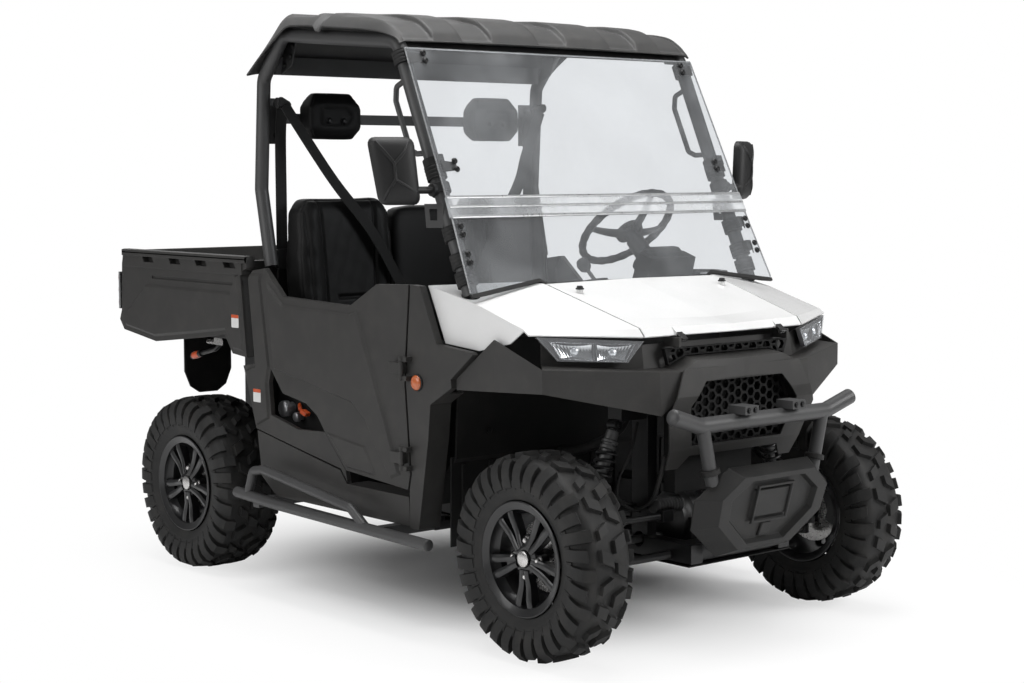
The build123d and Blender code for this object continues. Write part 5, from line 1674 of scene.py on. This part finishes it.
@dataclass
class Roof:
    """The moulded roof: a skin over rounded sections, with scoops in its front edge and a cross groove."""

    # x and height from the rear lip to the front lip, at the edge, the shoulder and the middle
    edge: tuple = ((-1484, 1800), (-1400, 1862), (-1240, 1957), (-1127, 1952), (-820, 1925), (-727, 1911),
                   (-665, 1890), (-648, 1872))
    shoulder: tuple = ((-1486, 1808), (-1415, 1904), (-1330, 1988), (-1290, 2003), (-820, 1978),
                       (-730, 1960), (-668, 1916), (-650, 1880))
    middle: tuple = ((-1486, 1814), (-1415, 1910), (-1330, 1994), (-1290, 2008), (-820, 1984),
                     (-730, 1966), (-668, 1922), (-650, 1886))
    scoops: tuple = (-585.0, -335.0, 0.0, 335.0, 585.0)
    scoop_half: float = 66.0
    half: float = 690.0
    shoulder_out: float = 630.0
    thickness: float = 6.0
    rows: int = 150

    def line(self, points: tuple) -> Array:
        """A section: straight runs with rounded corners, at even steps of its length.

        Args:
            points: x and height of its corners.

        Returns:
            One point for each row.
        """
        path = bent_path(points, 34, 7)
        run = run_along(path)
        even = np.linspace(0, run[-1], self.rows)
        return np.stack([np.interp(even, run, path[:, k]) for k in (0, 1)], 1)

    def surface(self) -> Array:
        """The outer skin.

        Returns:
            Points in millimetres: the middle and shoulder sections blended by (y / 640)^2, dropping to
            the edge section by the 1.6th power of the share past the shoulder, less what the skin sinks.
        """
        lines = (self.edge, self.shoulder, self.middle)
        edge, shoulder, middle = (self.line(points)[:, None] for points in lines)
        walls = [scoop + side * self.scoop_half + near
                 for scoop in self.scoops for side in (-1, 1) for near in (-5, -2, 2, 5)]
        even = np.linspace(-self.half, self.half, 139)
        across = np.unique(np.concatenate([even, np.clip(walls, -self.half, self.half)]))
        fall = np.clip((np.abs(across) - self.shoulder_out) / (self.half - self.shoulder_out), 0, 1)
        blend, crown = (fall**1.6)[:, None], ((np.abs(across) / 640) ** 2)[:, None]
        flat = (middle * (1 - crown) + shoulder * crown) * (1 - blend) + edge * blend
        x, z = flat[..., 0], flat[..., 1]
        taper = 1 - 0.045 * fall * np.clip((x + 850) / 200, 0, 1)
        return np.stack([x, across * taper, z - self.sink(x, np.broadcast_to(across, x.shape))], -1)

    def sink(self, x: Array, y: Array) -> Array:
        """How far the skin dips.

        Args:
            x: places along the roof.
            y: places across it.

        Returns:
            Millimetres: scoops over the front edge, long flutes on top and the cross groove.
        """
        dip = np.zeros_like(x)
        run = np.clip((x + 960) / 150, 0, 1) * np.clip((-652 - x) / 12, 0, 1)
        rear = 1 / (1 + np.exp((np.abs(x + 1195) - 80) / 3))
        for scoop in self.scoops:
            dip += (18 * run + 8 * rear) / (1 + np.exp((np.abs(y - scoop) - self.scoop_half) / 1.6))
        return np.maximum(dip, np.exp(-(((x + 1058) / 19) ** 4)) * 17)

    def build(self) -> None:
        """Make the skin: outer and inner surfaces joined round the rim."""
        outer = self.surface()
        normal = unit(np.cross(np.gradient(outer, axis=0), np.gradient(outer, axis=1)))
        inner = outer - normal * np.sign(normal[..., 2:]) * self.thickness
        outer, inner = (at(*np.moveaxis(side, -1, 0)) for side in (outer, inner))
        skin = grid(np.concatenate([outer, inner[:, ::-1]], axis=1), loop_columns=True)
        skin += grid(np.stack([outer[0], inner[0]])) + grid(np.stack([inner[-1], outer[-1]]))
        add_piece(skin, "roof_skin", "roof", "roof_black", "roof")


@dataclass
class CageFittings:
    """Round ends of the bars, plates on the posts and other small hardware."""

    # end of a tube, direction out of it, radius
    ends: tuple = (((322, -402, 748), (0.03, -0.95, 0.30), 25.0), ((-370, -772, 312), (1.0, 0.0, 0.0), 19.0),
                   ((-1449, -772, 342), (-1.0, 0.0, 0.05), 19.0))
    gusset: tuple = ((-1400, 1800), (-1330, 1830), (-1300, 1925), (-1375, 1905))
    gusset_bolts: tuple = ((-1375, 1830), (-1340, 1860), (-1325, 1895))
    brow_up: Point = (-0.43, 0.0, 0.9)

    def caps(self) -> Shape:
        """Domed caps on open tube ends.

        Returns:
            Quarter ellipses turned round each tube's line, 0.4 of the radius high.
        """
        total, turn = Shape(), np.linspace(0, math.pi / 2, 7)
        for place, way, radius in self.ends:
            dome = np.column_stack([np.sin(turn) * 0.4, np.cos(turn)]) * radius
            dome[-1, 1] = 0.3
            total += revolved(dome, at(*place), way, 28)
        return total.both_sides()

    def bolt_heads(self) -> Shape:
        """Bolts of the rear frame.

        Returns:
            Heads on the rear posts and on the gussets.
        """
        rear = [at(-1461.5, -(CAGE_OUT - TUBE_RADIUS - 30), z) for z in (1590, 1700)]
        gusset = [at(x, -604, z) for x, z in self.gusset_bolts]
        return (bolts(rear, FORWARD, 8) + bolts(gusset, RIGHT, 8)).both_sides()

    def plates(self) -> Shape:
        """Flat plates.

        Returns:
            Gussets on the rear posts, and the brackets under the roof's front edge.
        """
        brow = slab(box(1240, 30), at(-676, 0, 1868), LEFT, self.brow_up, 3)
        ends = slab(box(90, 32), at(-672, -600, 1862), LEFT, self.brow_up, 3)
        return (slab(self.gusset, at(0, -603, 0), FORWARD, UP, 4) + brow + ends).both_sides()

    def build(self) -> None:
        """Make everything."""
        add_piece(self.caps(), "tube_caps", "tube", "tube_paint")
        add_piece(self.bolt_heads(), "cage_bolts", "bolt", "steel")
        add_piece(self.plates(), "cage_plates", "frame", "frame_paint", smooth=False)


# ---------------- mirrors
@dataclass
class Mirrors:
    """Mirrors beside the posts: ribbed shells on jointed arms."""

    centre: Point = (-500.0, -793.0, 1467.0)
    toe: float = 25.0
    width: float = 148.0
    height: float = 210.0
    # share of the outline, distance behind the rim
    shell: tuple = ((0.965, -3), (1, 0), (1, 10), (0.97, 19), (0.90, 28), (0.74, 36), (0.50, 41),
                    (0.25, 43), (0.02, 43.5))
    glass: tuple = ((0.90, -15.0), (0.882, -17.0), (0.018, -17.5))
    rib_runs: tuple = (((-66, 92, 11), (-40, 62, 23), (-8, 24, 30)),
                       ((-8, 24, 30), (22, 58, 26), (40, 90, 12)),
                       ((-8, 24, 30), (-6, 0, 31), (-4, -26, 30)),
                       ((-4, -26, 30), (-24, -58, 25), (-38, -88, 13)),
                       ((-4, -26, 30), (30, -46, 26), (64, -66, 13)))
    post_clamp: tuple = ((-17, 30), (-14, 32.5), (14, 32.5), (17, 30))

    def outline(self) -> Array:
        """The rim.

        Returns:
            A rounded four-sided ring, narrower at the foot, that leans out at the top.
        """
        ring = rounded(self.width, self.height, 26, 5)
        ring[:, 0] *= 1 - 0.16 * (0.5 - ring[:, 1] / self.height)
        ring[:, 0] -= 0.13 * ring[:, 1] - 6 * (ring[:, 0] > 0) * (ring[:, 1] < 40)
        return ring

    def spot(self, u: Array, v: Array, w: float | Array) -> Array:
        """Points in metres from millimetres.

        Args:
            u: across the glass.
            v: up it.
            w: out of the shell's back.

        Returns:
            The points.
        """
        sin, cos = math.sin(math.radians(self.toe)), math.cos(math.radians(self.toe))
        x, y, z = self.centre
        return at(x + u * sin + w * cos, y + u * cos - w * sin, z + v)

    def housing(self) -> Shape:
        """The shell, from the rim round to the middle of its back, creased along four lines.

        Returns:
            The closed shell.
        """
        ring = self.outline()
        crease = 2.2 * np.abs(np.cos(2 * np.arctan2(ring[:, 1], ring[:, 0]))) ** 6
        rings = [self.spot(*(ring * grow).T, -16.0) for grow in (0.02, [0.93, 0.94])]
        rings += [self.spot(*(ring * share).T, depth - 15 + crease * (depth > 15))
                  for share, depth in self.shell]
        return tube(rings)

    def ribs(self) -> Shape:
        """Raised ribs on the back, in a Y with a foot."""
        return sum((swept(smooth_path(self.spot(*np.array(run, float).T), 14), rounded(9, 9, 3))
                    for run in self.rib_runs), Shape())

    def arm(self) -> Shape:
        """Ball-jointed arm from the post's clamp to the housing.

        Returns:
            The arm, the ball, the collar at its root and the clamp round the post.
        """
        start, knee, end = at(-470, -CAGE_OUT - 20, 1408), at(-470, -748, 1408), at(-486, -772, 1425)
        turn = np.linspace(0.06, math.pi - 0.06, 12)
        ball = revolved(19 * np.column_stack([-np.cos(turn), np.sin(turn)]), end, UP, 20)
        arm = swept(bent_path([start, knee, end], 0.02), circle(11.5, 16)) + ball
        arm += rod(start, start + RIGHT * 0.018, 20)
        return arm + revolved(self.post_clamp, on_post(362), POST_UP, 28)

    def build(self) -> None:
        """Make everything."""
        shells = self.housing() + self.arm() + self.ribs()
        add_piece(shells.both_sides(), "mirror_shells", "grip", "grip", "mirrors")
        glass = np.stack([self.spot(*(self.outline() * share).T, depth) for share, depth in self.glass])
        add_piece(grid(glass[:, ::-1], loop_columns=True).both_sides(), "mirror_glass", "silver", "lamp")


# ---------------- suspension
@dataclass
class Shocks:
    """Coil-over dampers: threaded body, collars, rod, spring and eyes."""

    # foot, head
    table: tuple = (((0, -436, 420), (0, -330, 688)), ((REAR_AXLE, -436, 420), (REAR_AXLE, -330, 628)))
    spring: float = 29.0
    wire: float = 5.2
    # share of the length, radius
    body: tuple = ((0.10, 9), (0.12, 24), (0.16, 24), (0.17, 12), (0.45, 12), (0.46, 20), (0.72, 20),
                   (0.73, 26), (0.76, 26), (0.765, 21), (0.79, 21), (0.795, 26), (0.82, 26), (0.83, 20),
                   (0.93, 20), (0.94, 12), (0.97, 10))

    def build(self) -> None:
        """Make the right-hand dampers and mirror them."""
        bodies, springs, eyes = Shape(), Shape(), Shape()
        for foot, head in self.table:
            low, high = at(*foot), at(*head)
            bodies += revolved(np.array(self.body) * [1000 * math.dist(low, high), 1], low, high - low, 28)
            coil = helix(low + (high - low) * 0.165, low + (high - low) * 0.725, self.spring, 7.0)
            springs += swept(coil, circle(self.wire, 8), unit(high - low))
            for place in (low, high):
                for half, radius in ((0.019, 17), (0.026, 7)):
                    eyes += rod(place - FORWARD * half, place + FORWARD * half, radius)
        add_piece(bodies.both_sides(), "damper_bodies", "cast", "steel", "shocks")
        add_piece(springs.both_sides(), "damper_springs", "frame", "steel")
        add_piece(eyes.both_sides(), "damper_eyes", "bolt", "steel")


# ---------------- sides
@dataclass
class Sides:
    """What is on the cowls, doors and pockets."""

    marker: Point = (-505.0, -SIDE_FACE, 803.0)
    # distance out, radius
    lens: tuple = ((0, 24), (7.5, 24), (10, 22.5), (11.6, 19.5), (11, 18.5), (12.6, 15), (12, 12), (13, 9),
                   (13.3, 5), (13.4, 0.3))
    seat: tuple = ((0, 27.5), (4, 27.5), (6, 25.5), (6, 23.5))
    # x, height, radius, length, ribs
    cap_table: tuple = ((-1352, 634, 27, 46, 12), (-1290, 610, 16, 34, 8))
    # share of the length, share of the radius, whether it is ribbed
    cap_line: tuple = ((0, 0.8, 0), (0.45, 0.8, 0), (0.46, 1, 1), (0.88, 1, 1), (0.95, 0.94, 1),
                       (1, 0.82, 0), (1, 0.01, 0))
    # name, x, distance out, height
    labels: tuple = (("label_cowl", -1418, SIDE_FACE, 680), ("label_bed", -1538, BED_FACE, 935))

    def caps(self) -> Shape:
        """Knurled cap and a smaller one in the right-hand pocket.

        Returns:
            Turned shapes whose ribbed rings have r = 1 + 0.05 sqrt |sin(n u / 2)|.
        """
        total, turn = Shape(), np.arange(72) * TAU / 72
        for x, z, radius, length, ribs in self.cap_table:
            wave = 0.05 * np.abs(np.sin(turn * ribs / 2)) ** 0.5
            out, share, ribbed = np.array(self.cap_line).T[..., None]
            size = radius * share * (1 + ribbed * wave)
            total += tube(at(x + size * np.cos(turn), -600 - out * length, z + size * np.sin(turn)))
        return total

    def plug(self) -> Shape:
        """Orange connector below the caps, with its lead's stub."""
        body = slab(rounded(34, 15, 4), at(-1236, -640, 630), [1.0, 0.0, -0.35], [0.35, 0.0, 1.0], 22, 3)
        return body + rod(at(-1262, -630, 640), at(-1300, -606, 650), 7)

    def build(self) -> None:
        """Make the markers, what is in the pockets, and two blank labels: white with an orange band."""
        lenses, seats = (revolved(line, at(*self.marker), RIGHT, 32) for line in (self.lens, self.seat))
        add_piece(lenses.both_sides(), "marker_lenses", "amber", "amber_lamp", "signals")
        add_piece(seats.both_sides(), "marker_seats", "grip", "grip")
        add_piece(self.caps(), "pocket_caps", "aluminium", "cast_metal", "filler_caps")
        add_piece(self.plug(), "pocket_plug", "orange", "amber_lamp")
        wall = slab(box(140, 220), at(-1462, -597, 650), LEFT, UP, 3)
        add_piece(wall.both_sides(), "pocket_walls", "dark_panel", "moulded_black", smooth=False)
        for name, x, out, z in self.labels:
            white = slab(rounded(46, 46, 3), at(x, -out - 0.6, z), FORWARD, UP, 0.6, 0.1)
            band = slab(rounded(46, 12, 2), at(x, -out - 0.9, z + 17), FORWARD, UP, 0.3, 0.05)
            body = "bed" if name == "label_bed" else "chassis"
            add_piece(white, name, "label", "white_paint", body=body, smooth=False)
            add_piece(band, f"{name}_band", "orange", "white_paint", body=body, smooth=False)


@dataclass
class BedFittings:
    """Rounded rails, the lever's grip, curbs and lamps of the cargo bed."""

    rear: float = REAR_AXLE - 472.0
    front: float = -1474.0
    curb_front: float = -1506.0
    top: float = 1165.0
    lever: tuple = ((-2018, -600, 768), (-1948, -600, 784))
    # share of a lens's height, distance out
    lens: tuple = ((0.0, 0.0), (0.12, 5.0), (0.5, 7.0), (0.88, 5.0), (1.0, 0.0))

    def rails(self) -> Shape:
        """A rounded cap along each side wall."""
        path = [at(x, -BED_FACE + 21, self.top - 10) for x in (self.rear, self.front)]
        return swept(path, rounded(42, 24, 10, 4)).both_sides()

    def grip(self) -> Shape:
        """The lever's orange sleeve.

        Returns:
            A turning with r = 11.5 + 2.5 sin(pi u), drawn in at its ends.
        """
        start, end = (at(*place) for place in self.lever)
        along = np.linspace(0, 1, 12)
        radius = 11.5 + 2.5 * np.sin(along * math.pi)
        radius[[0, -1]] = 6.0
        profile = np.column_stack([along * 1000 * math.dist(start, end), radius])
        return revolved(profile, start, end - start, 20)

    def latch(self) -> Shape:
        """The latch's spring and plate above the lever."""
        spring = swept(helix(at(-1900, -600, 832), at(-1830, -600, 832), 8, 9.0), circle(1.6, 6), RIGHT)
        return spring + slab(rounded(60, 26, 6), at(-1812, -614, 838), FORWARD, UP, 4, 1)

    def lamps(self) -> Shape:
        """Ribbed lenses over the tail lamps.

        Returns:
            Three bowed bands on each side.
        """
        share, out = np.array(self.lens[::-1]).T[..., None]
        across = np.linspace(-709, -679, 7)
        bands = (grid(at(self.rear - 32 - out, across, low + 44 * share)) for low in (938, 985, 1032))
        return sum(bands, Shape()).both_sides()

    def curbs(self) -> Shape:
        """Curbs along the bed's side walls, ribs along its floor and a sill under the tailgate.

        Returns:
            All of them.
        """
        low, high = self.rear + 30, self.curb_front
        total = slab([(low, 864), (high, 864), (high, 908), (low, 908)], at(0, -682, 0), FORWARD, UP, 8)
        for y in range(-600, -1, 75):
            total += slab(rounded(700, 26, 8), at(-1930, y, 875.5), FORWARD, LEFT, 5, 2)
        return total.both_sides() + slab(box(1344, 27), at(self.rear + 12, 0, 879.5), LEFT, UP, 7, 1)

    def build(self) -> None:
        """Make everything."""
        add_piece(self.curbs(), "bed_curbs", "panel", "moulded_black", body="bed", smooth=False)
        add_piece(self.rails(), "bed_rails", "panel", "moulded_black", body="bed")
        add_piece(self.grip(), "lever_grip", "orange", "amber_lamp", body="bed")
        add_piece(self.latch(), "lever_latch", "steel", "steel", body="bed")
        add_piece(self.lamps(), "tail_lenses", "red", "red_lamp", body="bed")


# ---------------- cabin
@dataclass
class Cabin:
    """Steering wheel's grip, instruments, pedals, shifter and other things inside."""

    wheel_centre: Point = (-675.0, SEAT_OUT, 1265.0)
    tilt: float = 46.0
    wheel_radius: float = 178.0
    # distance along the axis, radius
    hub: tuple = ((-30, 30), (-28, 50), (-12, 52), (-6, 46), (-3, 20), (-2, 0.5))
    column: tuple = ((-85, 22), (-30, 24), (-29, 1))
    knob: tuple = ((0, 12), (10, 21), (30, 24), (45, 18), (50, 1))
    cup_ring: tuple = ((0, 46), (6, 46), (6, 40), (-2, 40))
    # distance from the middle, width
    pedals: tuple = ((300, 62), (420, 96))

    def wheel(self) -> Shape:
        """Grip with finger swells, three dished spokes and a padded hub.

        Returns:
            A ring of radius R + r cos v and height r sin v, where r = 13.5 + 0.9 cos 24 u, its spokes, hub
            and column.
        """
        tilt, centre = math.radians(self.tilt), at(*self.wheel_centre)
        out = np.array([-math.cos(tilt), 0.0, math.sin(tilt)])
        up = np.cross(out, LEFT)
        turn, around = np.arange(120)[:, None] * TAU / 120, np.arange(14) * TAU / 14
        thick = 13.5 + 0.9 * np.cos(turn * 24)
        radius, rise = self.wheel_radius + thick * np.cos(around), thick * np.sin(around)
        ring = (radius * np.cos(turn))[..., None] * LEFT + (radius * np.sin(turn))[..., None] * up
        points = centre + (ring + rise[..., None] * out) / 1000
        total = grid(points[:, ::-1], loop_rows=True, loop_columns=True)
        share = np.linspace(0, 1, 8)
        section = np.stack([rounded(size, 12, 4) for size in 40 - 20 * share])
        for way in (LEFT, -LEFT, -up):
            path = centre + (0.03 + share * 0.145)[:, None] * way - (0.028 * (1 - share**2))[:, None] * out
            total += swept(path, section, np.cross(way, np.cross(out, way)))
        return total + revolved(self.hub, centre, out, 32) + revolved(self.column, centre, out, 20)

    def instruments(self) -> tuple[Shape, Shape]:
        """Hooded pod behind the wheel, and its dark display.

        Returns:
            The pod and the display.
        """
        facing, up, place = unit([-0.75, 0.0, 0.66]), unit([0.66, 0.0, 0.75]), at(-532, SEAT_OUT, 1168)
        across = np.cross(up, facing)
        display = slab(rounded(150, 70, 14, 5), place + facing * 0.001, across, up, 1.0, 0.3)
        return slab(rounded(196, 104, 34, 6), place, across, up, 52, 9), display

    def controls(self) -> Shape:
        """Shift lever and its knob, two pedals, switches and the cup holders' rims.

        Returns:
            All of them.
        """
        total = rod(at(-500, 120, 1030), at(-610, 120, 1130), 7)
        total += revolved(self.knob, at(-606, 120, 1124), [-0.7, 0, 0.7], 18)
        for y, wide in self.pedals:
            total += slab(rounded(wide, 70, 10), at(-520, y, 520), RIGHT, [0.45, 0, 0.9], 8, 2)
            total += rod(at(-512, y, 540), at(-452, y, 700), 6)
        for y in range(-120, -253, -44):
            total += slab(rounded(30, 22, 4), at(-577, y, 1030), RIGHT, [0.2, 0, 1.0], 10, 2)
        for y in (-60, 60):
            total += revolved(self.cup_ring, at(-505, y, 1092), [-0.2, 0, 1.0], 28)
        return total

    def build(self) -> None:
        """Make everything."""
        pod, display = self.instruments()
        add_piece(self.wheel(), "steering_grip", "grip", "grip", "steering_wheel", body="steering_wheel")
        add_piece(pod, "instrument_pod", "dark_panel", "moulded_black")
        add_piece(display, "instrument_face", "display", "grip", smooth=False)
        add_piece(self.controls(), "cabin_controls", "grip", "grip")


# ---------------- solids that stay
SLOT_FINISH = {
    "moulded_black": "panel", "roof_black": "roof", "white_paint": "white", "frame_paint": "frame",
    "tube_paint": "tube", "screen": "screen", "clear_rail": "strip", "rubber": "rubber", "tyre": "tyre",
    "wheel_black": "alloy", "seat": "vinyl", "cast_metal": "cast", "steel": "steel", "lamp": "lens",
    "red_lamp": "red", "grip": "grip", "engine": "aluminium", "amber_lamp": "amber", "webbing": "webbing",
}
NODE_FINISH = {
    "floor": "dark_panel", "seat_box": "dark_panel", "dashboard": "dark_panel", "lower_grille": "dark_panel",
    "upper_grille": "dark_panel", "winch_cover": "cover", "headlamps": "lamp_body", "release_lever": "frame",
    "radiator": "dark_panel", "muffler": "aluminium", "hood": "hood", "tail_lamps": "silver",
}


def dress_solids(frame: dict) -> None:
    """Give every solid the finish of its slot, or its own.
    """
    slots = {row["node"]: row["material_slot"] for row in frame["record"]["subparts"]}
    for name, solid in frame["nodes"].items():
        solid.data.materials.clear()
        solid.data.materials.append(material_of(NODE_FINISH.get(name, SLOT_FINISH[slots[name]])))


def main() -> None:
    """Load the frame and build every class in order."""
    logging.basicConfig(level=logging.INFO, format="%(name)s %(message)s")
    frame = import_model()
    Stage().build()
    dress_solids(frame)
    Wheels().build()
    Seats().build(frame)
    for part in (Nose, ScreenFittings, Roof, CageFittings, Mirrors, Shocks, Sides, BedFittings, Cabin):
        part().build()


if __name__ == "__main__":
    main()
